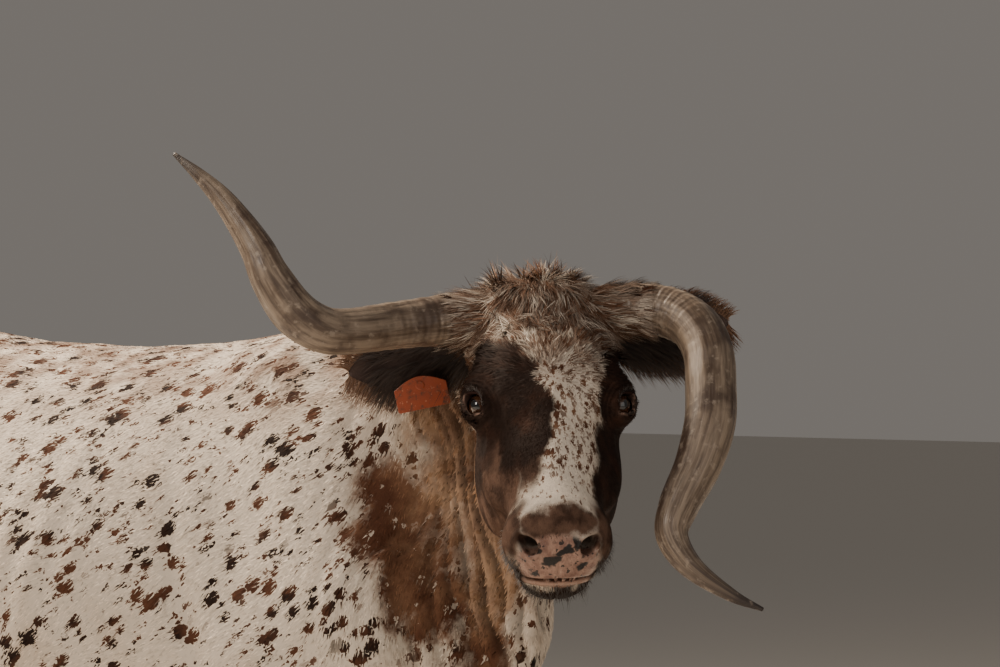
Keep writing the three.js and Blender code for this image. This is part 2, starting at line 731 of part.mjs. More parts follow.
// A prism across the head with an outline in its along and out directions
function headPrism(outline, halfWidth) {
  const shape = new THREE.Shape(outline.map(([along, out]) => new THREE.Vector2(along, out)));
  const prism = new THREE.ExtrudeGeometry(shape, { depth: 2 * halfWidth, bevelEnabled: false });
  return placed(prism, headPoint(halfWidth, 0, 0), [ALONG, OUT, ACROSS.clone().negate()]);
}

// The lower jaw's region; the head's cutter is the same, wider by the gap and the open lips
function jawOutline(gap, opening) {
  return [
    [MOUTH_END.along, MOUTH_CORNER.out + MOUTH_END.rise + opening],
    [MOUTH_CORNER.along, MOUTH_CORNER.out + gap],
    [290, -171 + gap],
    [214 - gap, -204 + gap],
    [188 - gap, -420],
    [MOUTH_END.along, -420],
  ];
}

function nostril(side) {
  const { across, along, out } = NOSTRIL;
  return loftOf([
    ovalRing(headPoint(side * (across - 6), along - 16, out - 4), ACROSS, OUT, 7, 9, 12),
    ovalRing(headPoint(side * across, along + 14, out), ACROSS, OUT, 9, 12, 12),
  ]);
}

const eyes = { right: eyeParts(-1), left: eyeParts(1) };
let face = castLoft(spaced(faceFrames), headField, HEAD_SIDES);
for (const eye of Object.values(eyes)) face = cut(face.add(eye.lids), eye.socket, eye.opening);
face = cut(face, nostril(-1), nostril(1));
keep('head', cut(face, headPrism(jawOutline(GAP, MOUTH_OPENING), JAW_REACH)), COAT);
keep('lower_jaw', face.intersect(headPrism(jawOutline(0, 0), JAW_REACH)), DARK_COAT);
for (const [side, { ball }] of Object.entries(eyes)) keep(`eye_${side}`, ball, EYE_FINISH);

// Dewlap: a thin fold hung under the neck and chest
const dewlapMiddles = new THREE.CatmullRomCurve3(DEWLAP_LINE.map(({ at }) => at));
const dewlapSizes = new THREE.CatmullRomCurve3(DEWLAP_LINE.map(({ wide, deep }) => V(wide, deep, 0)));
const dewlapFrames = steps(11, 0, 1).map((t) => {
  const tangent = dewlapMiddles.getTangent(t);
  const side = TURNED_SIDE.clone().addScaledVector(tangent, -TURNED_SIDE.dot(tangent)).normalize();
  const size = dewlapSizes.getPoint(t);
  const up = tangent.cross(side);
  return { centre: dewlapMiddles.getPoint(t), side, up, wide: size.x * 2, deep: size.y * 1.5 };
});
const dewlap = castLoft(dewlapFrames, dewlapShape, 16);
keep('dewlap', cut(dewlap, trunkClear, neckClear, headClear), DARK_COAT);

// Legs: level rings down each chain of joints, the last one sloped to meet the hoof
function legFrames(joints, heights, reach, slope = 0) {
  const line = joints.map(({ at, wide, deep }) => ({ x: at.x, y: at.y, z: at.z, wide, deep })).reverse();
  const [x, y, wide, deep] = ['x', 'y', 'wide', 'deep'].map((value) => profile(line, 'z', value));
  return heights.map((z, i) => {
    const lean = Math.PI / 2 - (i === heights.length - 1 ? slope : 0);
    return frameAt(V(x(z), y(z), z), 0, lean, wide(z) * reach, deep(z) * reach);
  });
}

// Half of a hoof: a flat inner wall and a rounded outer one, longer at the sole than the top
function claw(foot, side) {
  const ring = ({ length, width, ahead }, heightAt) =>
    steps(10, -Math.PI / 2, Math.PI / 2).map((turn) => {
      const forward = ahead + (length / 2) * Math.sin(turn);
      const outward = HOOF.cleft + width * Math.cos(turn) ** 0.7;
      return V(foot.x + side * outward, foot.y - forward, heightAt(forward));
    });
  const top = (forward) => CORONET.height - GAP + Math.tan(CORONET.slope) * forward;
  const middleSize = (key) => lerp(HOOF.sole[key], HOOF.top[key], 0.5);
  const waist = { length: middleSize('length'), width: middleSize('width') + 2, ahead: middleSize('ahead') };
  return loftOf([ring(HOOF.sole, () => 0), ring(waist, (forward) => top(forward) / 2), ring(HOOF.top, top)]);
}

function dewclaw(foot, side) {
  const { spread, behind, height, radius, reach, drop } = DEWCLAW;
  const root = V(foot.x + side * spread * 0.8, foot.y + behind - reach / 2, height);
  const tip = V(foot.x + side * spread, foot.y + behind + reach, height - drop);
  return tube([{ at: root, radius }, { at: tip, radius: radius * DEWCLAW.taper }], 1, 8);
}

const upperClears = [];
for (const { name, side, fore, joints, shape } of LEGS) {
  const split = fore ? KNEE_HEIGHT : HOCK_HEIGHT;
  const upperHeights = steps(fore ? 8 : 13, joints[0].at.z - 10, split + GAP / 2);
  const lowerHeights = [...steps(9, split - GAP / 2, CORONET.height + 24), CORONET.height];
  const upper = legFrames(joints, upperHeights, UPPER_LEG_REACH);
  const lower = legFrames(joints, lowerHeights, LOWER_LEG_REACH, CORONET.slope);
  const lowerClear = castLoft(lower, shape, LOWER_LEG_SIDES, CLEARANCE);
  upperClears.push(castLoft(upper, shape, UPPER_LEG_SIDES, CLEARANCE));
  keep(`upper_leg_${name}`, cut(castLoft(upper, shape, UPPER_LEG_SIDES), trunkClear), COAT);
  keep(`lower_leg_${name}`, castLoft(lower, shape, LOWER_LEG_SIDES), COAT);
  const foot = joints[joints.length - 1].at;
  const fetlock = joints[joints.length - 3].at;
  for (const [place, way] of [['outer', side], ['inner', -side]]) {
    keep(`hoof_${name}_${place}`, claw(foot, way), HOOF_FINISH);
    keep(`dewclaw_${name}_${place}`, cut(dewclaw(fetlock, way), lowerClear), HOOF_FINISH);
  }
}

// Udder
const udderGlobe = new THREE.SphereGeometry(1, 16, 9).scale(...UDDER.radii);
const udderBody = placed(udderGlobe, V(0, UDDER.y, UDDER.z), BODY_AXES);
const teats = bothSides((side) =>
  [-1, 1].map((way) => {
    const at = (drop) => V(side * TEAT.spread, UDDER.y + way * TEAT.step, TEAT.top - drop);
    return tube(
      [
        { at: at(0), radius: TEAT.radius * 1.2 },
        { at: at(TEAT.length / 2), radius: TEAT.radius },
        { at: at(TEAT.length), radius: TEAT.radius * 0.6 },
      ],
      2,
      8,
      LEFTWARDS,
    );
  }),
).flat();
const udder = teats.reduce((sum, teat) => sum.add(teat), udderBody);
keep('udder', cut(udder, trunkClear, ...upperClears), BARE_SKIN);

// Horns
function horn(points) {
  const line = points.map((point) => ({ at: besidePoll(point), radius: point.radius }));
  return tube(line, HORN_ROWS, HORN_SIDES);
}

const horns = { right: RIGHT_HORN, left: LEFT_HORN };
const hornClears = Object.values(horns).map((points) =>
  horn(points.map((point) => ({ ...point, radius: point.radius + CLEARANCE }))),
);
for (const [side, points] of Object.entries(horns)) {
  keep(`horn_${side}`, cut(horn(points), headClear, neckClear), HORN_FINISH);
}

// Locks: the same spread of chances at every build
function seeded(seed) {
  let state = seed;
  return ([low, high]) => {
    state = (state * 16807) % 2147483647;
    return lerp(low, high, state / 2147483647);
  };
}

// A flat tapered lock that leaves its root along the normal and bends over to where it lies
function lock({ root, normal, lie, length, width, lift, sink }, grow = 0) {
  const reach = length + grow;
  const path = new THREE.QuadraticBezierCurve3(
    root.clone().addScaledVector(normal, -sink),
    root.clone().addScaledVector(normal, lift).addScaledVector(lie, reach * LOCK_BEND.along),
    root.clone().addScaledVector(normal, lift * LOCK_BEND.tipLift).addScaledVector(lie, reach),
  );
  const side = lie.clone().cross(normal).normalize();
  const rings = LOCK_SECTIONS.map(({ t, half, thick }) => {
    const up = side.clone().cross(path.getTangent(t)).normalize();
    return ovalRing(path.getPoint(t), side, up, width * half + grow, width * thick + grow, 4);
  });
  return loftOf(rings);
}

function normalOf(field, p) {
  const step = 0.5;
  const moved = (axis, distance) => field(p.clone().addScaledVector(axis, distance));
  return V(...BODY_AXES.map((axis) => moved(axis, step) - moved(axis, -step))).normalize();
}

const flattened = (lie, normal) => lie.clone().addScaledVector(normal, -lie.dot(normal)).normalize();

const hornShapes = Object.values(horns).map((points) =>
  chain(
    points.map((point) => joint(besidePoll(point), point.radius, point.radius)),
    V(0, 0, 1),
    1,
  ),
);

// Crown: rows of locks that fall over the forehead and out to both sides
function crownLocks(chance) {
  return CROWN_HAIR.rows.flatMap((along, row) =>
    steps(CROWN_HAIR.columns, -CROWN_HAIR.spread, CROWN_HAIR.spread).map((turn) => {
      const { core, stagger, turnJitter, rowJitter, halfCore, outward, wander } = CROWN_HAIR;
      const swung = turn + ((row % 2) - 0.5) * stagger + chance(turnJitter);
      const across = Math.sin(swung);
      const direction = ACROSS.clone().multiplyScalar(across).addScaledVector(OUT, Math.cos(swung));
      const from = headPoint(across * halfCore, along + chance(rowJitter), core);
      const distance = castRay(headField, from, direction, HEAD_REACH, 0);
      const root = from.addScaledVector(direction, distance);
      const normal = normalOf(headField, root);
      const lie = ALONG.clone().addScaledVector(ACROSS, across * outward + chance(wander));
      return {
        root,
        normal,
        lie: flattened(lie, normal),
        length: chance(CROWN_HAIR.length),
        width: chance(CROWN_HAIR.width),
        lift: CROWN_HAIR.lift,
        sink: CROWN_HAIR.sink,
      };
    }),
  );
}

// Horn bases: a sleeve of locks that lie out along each horn
function sleeveLocks(points, chance) {
  const from = besidePoll(points[0]);
  const axis = besidePoll(points[1]).sub(from).normalize();
  const first = axis.clone().cross(OUT).normalize();
  const second = axis.clone().cross(first);
  return steps(HORN_HAIR.count, 0, 2 * Math.PI)
    .slice(0, HORN_HAIR.count)
    .map((turn) => {
      const normal = first.clone().multiplyScalar(Math.cos(turn)).addScaledVector(second, Math.sin(turn));
      const width = chance(HORN_HAIR.width);
      const clear = points[1].radius + 2 * CLEARANCE + width * LOCK_SECTIONS[1].thick;
      const root = from.clone().addScaledVector(normal, clear);
      root.addScaledVector(axis, castRay(headField, root, axis, HEAD_REACH, 0) - HORN_HAIR.sink);
      const length = chance(HORN_HAIR.length);
      return { root, normal, lie: axis, length, width, lift: HORN_HAIR.lift, sink: 0 };
    });
}

const ears = { right: RIGHT_EAR, left: LEFT_EAR };
const earShapes = Object.values(ears).map(({ root, tip }) =>
  bar(joint(besidePoll(root), EAR_ROOM, EAR_ROOM), joint(besidePoll(tip), EAR_ROOM, EAR_ROOM), OUT),
);
const crownChance = seeded(41);
const crownHair = [
  ...crownLocks(crownChance).filter(({ root }) => hornShapes.every((shape) => shape(root) > HORN_ROOM)),
  ...Object.values(horns).flatMap((points) => sleeveLocks(points, crownChance)),
].filter(({ root, lie, length }) =>
  [0, 0.5, 1].every((t) => {
    const along = root.clone().addScaledVector(lie, length * t);
    return earShapes.every((shape) => shape(along) > 0);
  }),
);
const hairRoom = wasm.Manifold.union(crownHair.map((hair) => lock(hair, CLEARANCE)));
const faceClear = castLoft(faceFrames, headField, HEAD_SIDES, CLEARANCE);
const pollCore = castLoft(spaced(pollFrames), headField, HEAD_SIDES);
const pollSolid = wasm.Manifold.union([pollCore, ...crownHair.map((hair) => lock(hair))]);
const besideFace = cut(pollSolid, faceClear, eyes.right.room, eyes.left.room, ...hornClears);
keep('poll', cut(besideFace, neckClear, behind(neckStart, -GAP / 2)), COAT);

// Ears: a leaf-shaped cup, open towards the front, with locks along its rim and in the cup
function earFrame({ root, tip }) {
  const from = besidePoll(root);
  const axis = besidePoll(tip).sub(from);
  const reach = axis.length();
  axis.divideScalar(reach);
  const opening = AHEAD.clone().addScaledVector(axis, -AHEAD.dot(axis)).normalize();
  const width = axis.clone().cross(opening);
  const at = (t, across, forward) =>
    from
      .clone()
      .addScaledVector(axis, reach * t)
      .addScaledVector(width, across)
      .addScaledVector(opening, forward);
  return { axis, opening, width, at };
}

function earCup(ends) {
  const { at } = earFrame(ends);
  const rings = EAR_SECTIONS.map(({ t, half, cup, thick }) => {
    const face = (across, raised) => {
      const back = cup * (1 - across ** 2) - raised * thick * (1 - 0.6 * across ** 2);
      return at(t, across * half, -back);
    };
    const outside = steps(8, -1, 1).map((across) => face(across, -0.5));
    const inside = steps(8, 1, -1).map((across) => face(across, 0.5));
    return [...outside, ...inside];
  });
  return loftOf(rings);
}

const earHalf = profile(EAR_SECTIONS, 't', 'half');
const earDepth = profile(EAR_SECTIONS, 't', 'cup');

function earLocks(ends, chance) {
  const { axis, opening, width, at } = earFrame(ends);
  const inShell = (t, across) => at(t, across * earHalf(t), -earDepth(t) * (1 - across ** 2));
  const rims = bothSides((side) =>
    steps(FRINGE_HAIR.count - 1, ...FRINGE_HAIR.span).map((t) => ({
      root: inShell(t, side * FRINGE_HAIR.rim),
      normal: opening,
      lie: axis.clone().addScaledVector(width, side * chance(FRINGE_HAIR.spread)).normalize(),
      length: chance(FRINGE_HAIR.length),
      width: chance(FRINGE_HAIR.width),
      lift: FRINGE_HAIR.lift,
      sink: 0,
    })),
  ).flat();
  const cupped = steps(CUP_HAIR.count - 1, -1, 1).map((across) => ({
    root: inShell(CUP_HAIR.along, across * CUP_HAIR.across),
    normal: opening,
    lie: axis
      .clone()
      .addScaledVector(opening, CUP_HAIR.outward)
      .addScaledVector(width, across * CUP_HAIR.spread)
      .normalize(),
    length: chance(CUP_HAIR.length),
    width: chance(CUP_HAIR.width),
    lift: CUP_HAIR.lift,
    sink: 1,
  }));
  return [...rims, ...cupped].map((hair) => lock(hair));
}

// Ear tag: a plate in front of the ear's lower edge, with a pin through the ear
const tagCentre = besidePoll(TAG);
const tagAxes = (() => {
  const down = V(0, 0, -1).applyAxisAngle(AHEAD, TAG_TURN);
  return [down.clone().cross(AHEAD).negate(), down.clone().negate(), AHEAD];
})();

function tagSolid(grow) {
  const half = TAG.width / 2 + grow;
  const rise = TAG.height / 2 + grow;
  const outline = new THREE.Shape()
    .moveTo(-half, -rise)
    .lineTo(half, -rise)
    .lineTo(half, rise * 0.4)
    .quadraticCurveTo(half * 0.4, rise, 0, rise)
    .quadraticCurveTo(-half * 0.4, rise, -half, rise * 0.4);
  const depth = TAG.thickness + 2 * grow;
  const plate = new THREE.ExtrudeGeometry(outline, { depth, bevelEnabled: false, curveSegments: 6 });
  const plateSolid = placed(plate, tagCentre.clone().addScaledVector(AHEAD, -depth / 2), tagAxes);
  const pinTop = tagCentre.clone().addScaledVector(tagAxes[1], rise * 0.45);
  const rod = (radius, from, to) => {
    const ends = [from, to].map((ahead) => pinTop.clone().addScaledVector(AHEAD, ahead));
    return loftOf(ends.map((end) => ovalRing(end, tagAxes[0], tagAxes[1], radius, radius, 8)));
  };
  const pin = rod(TAG_PIN.radius + grow, -TAG_PIN.reach - grow, 0);
  const back = rod(TAG_PIN.head + grow, -TAG_PIN.reach - grow, -TAG_PIN.reach + TAG_PIN.cap + grow);
  const front = rod(TAG_PIN.head * 0.6 + grow, 0, TAG.thickness);
  return plateSolid.add(pin).add(back).add(front);
}

keep('ear_tag', tagSolid(0), TAG_FINISH);
const earChance = seeded(17);
for (const [side, ends] of Object.entries(ears)) {
  const hairy = wasm.Manifold.union([earCup(ends), ...earLocks(ends, earChance)]);
  const clears = side === 'right' ? [tagSolid(CLEARANCE), ...hornClears] : hornClears;
  keep(`ear_${side}`, cut(hairy, headClear, neckClear, hairRoom, ...clears), DARK_COAT);
}

// Tail: the dock, and the switch that hangs from it
const tailPoints = (line) => line.map(({ y, z, radius }) => ({ at: V(0, y, z), radius }));
const tailSide = V(1, 0, 0);
const dock = tube(tailPoints(TAIL_DOCK), 11, 10, tailSide);
keep('tail_dock', cut(dock, trunkClear), COAT);

// Locks hang all round the switch's core, to tips at different heights
const switchLine = new THREE.CatmullRomCurve3(tailPoints(SWITCH_CORE).map(({ at }) => at));
const switchChance = seeded(5);
const switchLocks = steps(SWITCH_HAIR.count - 1, 0, 1).map((part, i) => {
  const height = lerp(SWITCH_HAIR.top, SWITCH_HAIR.bottom, part);
  const along = (SWITCH_CORE[0].z - height) / (SWITCH_CORE[0].z - SWITCH_CORE[SWITCH_CORE.length - 1].z);
  const normal = V(Math.cos(i * GOLDEN_TURN), Math.sin(i * GOLDEN_TURN), 0);
  const sideways = V(-normal.y, normal.x, 0);
  return lock({
    root: switchLine.getPoint(along).addScaledVector(normal, SWITCH_HAIR.seat),
    normal,
    lie: V(0, 0, -1).addScaledVector(sideways, switchChance(SWITCH_HAIR.sway)).normalize(),
    length: height - switchChance(SWITCH_HAIR.tips),
    width: switchChance(SWITCH_HAIR.width),
    lift: SWITCH_HAIR.lift,
    sink: SWITCH_HAIR.sink,
  });
});
const switchCore = tube(tailPoints(SWITCH_CORE), 5, 10, tailSide);
keep('tail_switch', wasm.Manifold.union([switchCore, ...switchLocks]), HAIR);

// The group stands on the floor, centred over its own outline
const group = new THREE.Group();
for (const { name, solid, material } of parts) {
  const { vertProperties, triVerts } = solid.getMesh();
  const geometry = new THREE.BufferGeometry();
  geometry.setAttribute('position', new THREE.BufferAttribute(vertProperties, 3));
  geometry.setIndex(new THREE.BufferAttribute(triVerts, 1));
  const mesh = new THREE.Mesh(geometry, material);
  mesh.name = name;
  group.add(mesh);
}
const bounds = new THREE.Box3().setFromObject(group);
const middle = bounds.getCenter(V(0, 0, 0));
group.position.set(-middle.x, -middle.y, -bounds.min.z);

export default group;
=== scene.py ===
"""Looks of a life-size longhorn cow that stands with its head turned to its right.

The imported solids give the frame. One distance field, made from the same named sizes as the
solids, holds the form of the whole body. The skin is meshed from that field, and the coat,
long hair, eyes, horns and hooves are built over it. Sizes are in millimetres in the cow's own
axes: it faces -Y, its left side is towards +X and the floor is at z = 0.
"""

import logging
import math
from dataclasses import dataclass
from enum import Enum
from typing import Any, Callable, Mapping, Sequence

import bpy
import numpy as np
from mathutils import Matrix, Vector


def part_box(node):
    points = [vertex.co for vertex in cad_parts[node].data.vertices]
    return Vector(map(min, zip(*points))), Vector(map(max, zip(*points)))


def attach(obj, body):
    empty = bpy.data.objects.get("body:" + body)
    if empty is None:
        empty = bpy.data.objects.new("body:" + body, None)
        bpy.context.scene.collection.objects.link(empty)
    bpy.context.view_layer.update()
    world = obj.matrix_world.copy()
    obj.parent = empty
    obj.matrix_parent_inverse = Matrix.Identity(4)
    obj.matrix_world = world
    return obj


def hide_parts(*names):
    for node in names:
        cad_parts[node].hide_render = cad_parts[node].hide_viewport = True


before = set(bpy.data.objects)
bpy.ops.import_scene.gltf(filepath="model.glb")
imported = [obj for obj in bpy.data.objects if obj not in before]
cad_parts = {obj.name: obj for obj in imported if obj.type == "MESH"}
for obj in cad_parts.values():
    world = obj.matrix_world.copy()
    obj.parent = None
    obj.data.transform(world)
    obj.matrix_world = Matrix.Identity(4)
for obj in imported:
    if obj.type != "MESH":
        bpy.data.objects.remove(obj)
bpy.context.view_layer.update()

Array = np.ndarray
Measure = Callable[[Array], Array]
LOG = logging.getLogger("longhorn")
FAR = 1.0e6
METRE = 0.001


def vec(*values: float) -> Array:
    """Returns the values as a float vector."""
    return np.array(values, dtype=float)


def unit(vectors: Array) -> Array:
    """Scales vectors to length one along their last axis."""
    lengths = np.linalg.norm(vectors, axis=-1, keepdims=True)
    return vectors / np.maximum(lengths, 1e-9)


def blend_values(a: Any, b: Any, t: Any) -> Any:
    """Mixes a and b by t."""
    return a + (b - a) * t


def ramp(low: float, high: float, value: Array) -> Array:
    """Rises smoothly from 0 at low to 1 at high; low may be the larger one."""
    t = np.clip((value - low) / (high - low), 0.0, 1.0)
    return t * t * (3 - 2 * t)


def bell(value: Array, width: float) -> Array:
    """Falls from 1 at zero over about the given width."""
    return np.exp(-np.square(value / width))


def ripple(points: Array, length: float, seed: int) -> Array:
    """Gives a smooth, unrepeating wave between about -1 and 1.

    Args:
        points: places in mm.
        length: about how far apart two crests are, in mm.
        seed: which wave.

    Returns:
        One value per place.
    """
    draw = np.random.default_rng(seed)
    total = np.zeros(len(points))
    for _ in range(5):
        way = unit(draw.normal(size=3)) * draw.uniform(0.7, 1.4)
        total += np.sin(points @ way * (2 * math.pi / length) + draw.uniform(0, 2 * math.pi))
    return total / 3.0


# The head's own axes: across to its left, along the face to the nose, out of the forehead
POLL = vec(-130, -970, 1340)
HEAD_YAW = math.radians(47)
FACE_DROP = math.radians(38)
AHEAD = vec(-math.sin(HEAD_YAW), -math.cos(HEAD_YAW), 0)
ACROSS = vec(math.cos(HEAD_YAW), -math.sin(HEAD_YAW), 0)
UP = vec(0, 0, 1)
ALONG = AHEAD * math.cos(FACE_DROP) - UP * math.sin(FACE_DROP)
OUT = AHEAD * math.sin(FACE_DROP) + UP * math.cos(FACE_DROP)
HEAD_AXES = np.stack([ACROSS, ALONG, OUT], axis=1)
BODY_AXES = np.eye(3)
LEFTWARDS = vec(1, 0, 0)
BOTH_SIDES = (-1, 1)


def head_point(across: float, along: float, out: float) -> Array:
    """Returns a place given in the head's axes, in the cow's axes."""
    return POLL + HEAD_AXES @ vec(across, along, out)


def in_head(points: Array) -> Array:
    """Returns places in the head's axes."""
    return (points - POLL) @ HEAD_AXES


def beside_poll(across: float, ahead: float, up: float) -> Array:
    """Returns a place given beside, ahead of and above the poll."""
    return POLL + ACROSS * across + AHEAD * ahead + UP * up


@dataclass(frozen=True)
class Joint:
    """A place on a limb's middle line with its half width and half depth, in mm."""

    at: Array
    wide: float
    deep: float


@dataclass(frozen=True)
class Form:
    """A form as a distance field.

    Attributes:
        measure: gives about how far outside the form each place is.
        low: lowest corner of the box that holds it.
        high: highest corner of that box.
    """

    measure: Measure
    low: Array
    high: Array


def ellipsoid_distance(local: Array, radii: Array) -> Array:
    """Gives about how far outside an ellipsoid places in its own axes are.

    Args:
        local: places in the ellipsoid's own axes.
        radii: its radii along those axes.

    Returns:
        One distance in mm per place.
    """
    scaled = np.linalg.norm(local / radii, axis=-1)
    steep = np.linalg.norm(local / np.square(radii), axis=-1)
    return scaled * (scaled - 1) / np.maximum(steep, 1e-9)


def blob(centre: Array, radii: Sequence[float], axes: Array = BODY_AXES) -> Form:
    """Makes an ellipsoid with its radii along the given axes.

    Args:
        centre: its middle.
        radii: its three radii.
        axes: the directions of the radii, as columns.

    Returns:
        The form.
    """
    sizes = np.array(radii, dtype=float)
    reach = sizes.max()
    return Form(
        lambda p: ellipsoid_distance((p - centre) @ axes, sizes), centre - reach, centre + reach
    )


def bar(start: Joint, end: Joint, side: Array) -> Form:
    """Makes a tapered bar with an oval section, wide along the side direction.

    Args:
        start: its first end.
        end: its last end.
        side: which way it is wide.

    Returns:
        The form.
    """
    axis = end.at - start.at
    reach = float(np.linalg.norm(axis))
    onward = axis / reach
    wideways = unit(side - onward * (side @ onward))
    axes = np.stack([wideways, np.cross(onward, wideways), onward], axis=1)

    def measure(points: Array) -> Array:
        """Gives how far outside the bar places are.

        Args:
            points: places in mm.

        Returns:
            One distance in mm per place.
        """
        offset = points - start.at
        t = np.clip(offset @ onward / reach, 0, 1)
        local = (offset - t[:, None] * axis) @ axes
        wide = blend_values(start.wide, end.wide, t)
        deep = blend_values(start.deep, end.deep, t)
        return ellipsoid_distance(local, np.stack([wide, deep, np.minimum(wide, deep)], axis=1))

    widest = max(start.wide, start.deep, end.wide, end.deep)
    return Form(
        measure, np.minimum(start.at, end.at) - widest, np.maximum(start.at, end.at) + widest
    )


def smooth_union(a: Array, b: Array, blend: float) -> Array:
    """Joins two distances with a fillet."""
    near = np.maximum(blend - np.abs(a - b), 0) / blend
    return np.minimum(a, b) - near * near * blend / 4


def smooth_cut(a: Array, b: Array, blend: float) -> Array:
    """Takes b away from a with a rounded edge."""
    return -smooth_union(-a, b, blend)


@dataclass(frozen=True)
class Piece:
    """A form that is blended on, or cut away where cut is set."""

    form: Form
    blend: float
    cut: bool = False


BOX_MARGIN = 110.0


def blended(pieces: Sequence[Piece]) -> Form:
    """Blends forms one after another, each measured only near its own box.

    Args:
        pieces: what is joined or cut, in order.

    Returns:
        One form of them all.
    """

    def measure(points: Array) -> Array:
        """Gives how far outside the blended forms places are.

        Args:
            points: places in mm.

        Returns:
            One distance in mm per place.
        """
        total = np.full(len(points), FAR)
        for piece in pieces:
            low = piece.form.low - BOX_MARGIN
            high = piece.form.high + BOX_MARGIN
            near = np.all((points > low) & (points < high), axis=1)
            if near.any():
                join = smooth_cut if piece.cut else smooth_union
                total[near] = join(total[near], piece.form.measure(points[near]), piece.blend)
        return total

    added = [piece.form for piece in pieces if not piece.cut]
    low = np.min([form.low for form in added], axis=0)
    high = np.max([form.high for form in added], axis=0)
    return Form(measure, low, high)


def chain(joints: Sequence[Joint], side: Array, blend: float) -> Form:
    """Blends the bars between a row of joints."""
    links = zip(joints, joints[1:])
    return blended([Piece(bar(start, end, side), blend) for start, end in links])


def curve_through(at: Sequence[float], values: Sequence[float]) -> Measure:
    """Makes a smooth curve through stations with no overshoot between them.

    Args:
        at: where the stations are.
        values: the height at each.

    Returns:
        What gives the curve's height at any place.
    """
    places = np.array(at, dtype=float)
    heights = np.array(values, dtype=float)
    slope = np.diff(heights) / np.diff(places)
    tangent = np.empty(len(heights))
    tangent[0], tangent[-1] = slope[0], slope[-1]
    product = slope[:-1] * slope[1:]
    total = slope[:-1] + slope[1:]
    tangent[1:-1] = np.where(product <= 0, 0, 2 * product / np.where(total == 0, 1, total))

    def value(x: Array) -> Array:
        """Gives the curve's height at x.

        Args:
            x: places along the stations.

        Returns:
            One height per place.
        """
        held = np.clip(x, places[0], places[-1])
        i = np.clip(np.searchsorted(places, held) - 1, 0, len(places) - 2)
        span = places[i + 1] - places[i]
        t = (held - places[i]) / span
        rise = t * t * (3 - 2 * t)
        bends = t * (1 - t) * ((1 - t) * tangent[i] - t * tangent[i + 1]) * span
        return blend_values(heights[i], heights[i + 1], rise) + bends

    return value


def flowing_line(points: Sequence[Array], t: Array) -> Array:
    """Gives places on the smooth line that runs through the points.

    Args:
        points: what the line runs through.
        t: where along it, from 0 to 1.

    Returns:
        One place per value of t.
    """
    rows = np.array(points, dtype=float)
    rows = np.vstack([2 * rows[0] - rows[1], rows, 2 * rows[-1] - rows[-2]])
    steps = np.linalg.norm(np.diff(rows, axis=0), axis=1) ** 0.5
    steps = np.where(steps < 1e-4, 1.0, steps)
    where = np.clip(t, 0, 1) * (len(points) - 1)
    i = np.minimum(where.astype(int), len(points) - 2)
    w = (where - i)[:, None]
    p0, p1, p2, p3 = (rows[i + k] for k in range(4))
    s0, s1, s2 = (steps[i + k][:, None] for k in range(3))
    start = ((p1 - p0) / s0 - (p2 - p0) / (s0 + s1) + (p2 - p1) / s1) * s1
    end = ((p2 - p1) / s1 - (p3 - p1) / (s1 + s2) + (p3 - p2) / s2) * s1
    return (
        p1
        + start * w
        + (3 * p2 - 3 * p1 - 2 * start - end) * w**2
        + (2 * p1 - 2 * p2 + start + end) * w**3
    )


def line_distance(points: Array, line: Sequence[Array]) -> Array:
    """Gives how far places are from a row of straight links.

    Args:
        points: places in mm.
        line: the places that the links join.

    Returns:
        One distance in mm per place.
    """
    nearest = np.full(len(points), FAR)
    for start, end in zip(line, line[1:]):
        axis = end - start
        t = np.clip((points - start) @ axis / (axis @ axis), 0, 1)
        nearest = np.minimum(nearest, np.linalg.norm(points - start - t[:, None] * axis, axis=1))
    return nearest


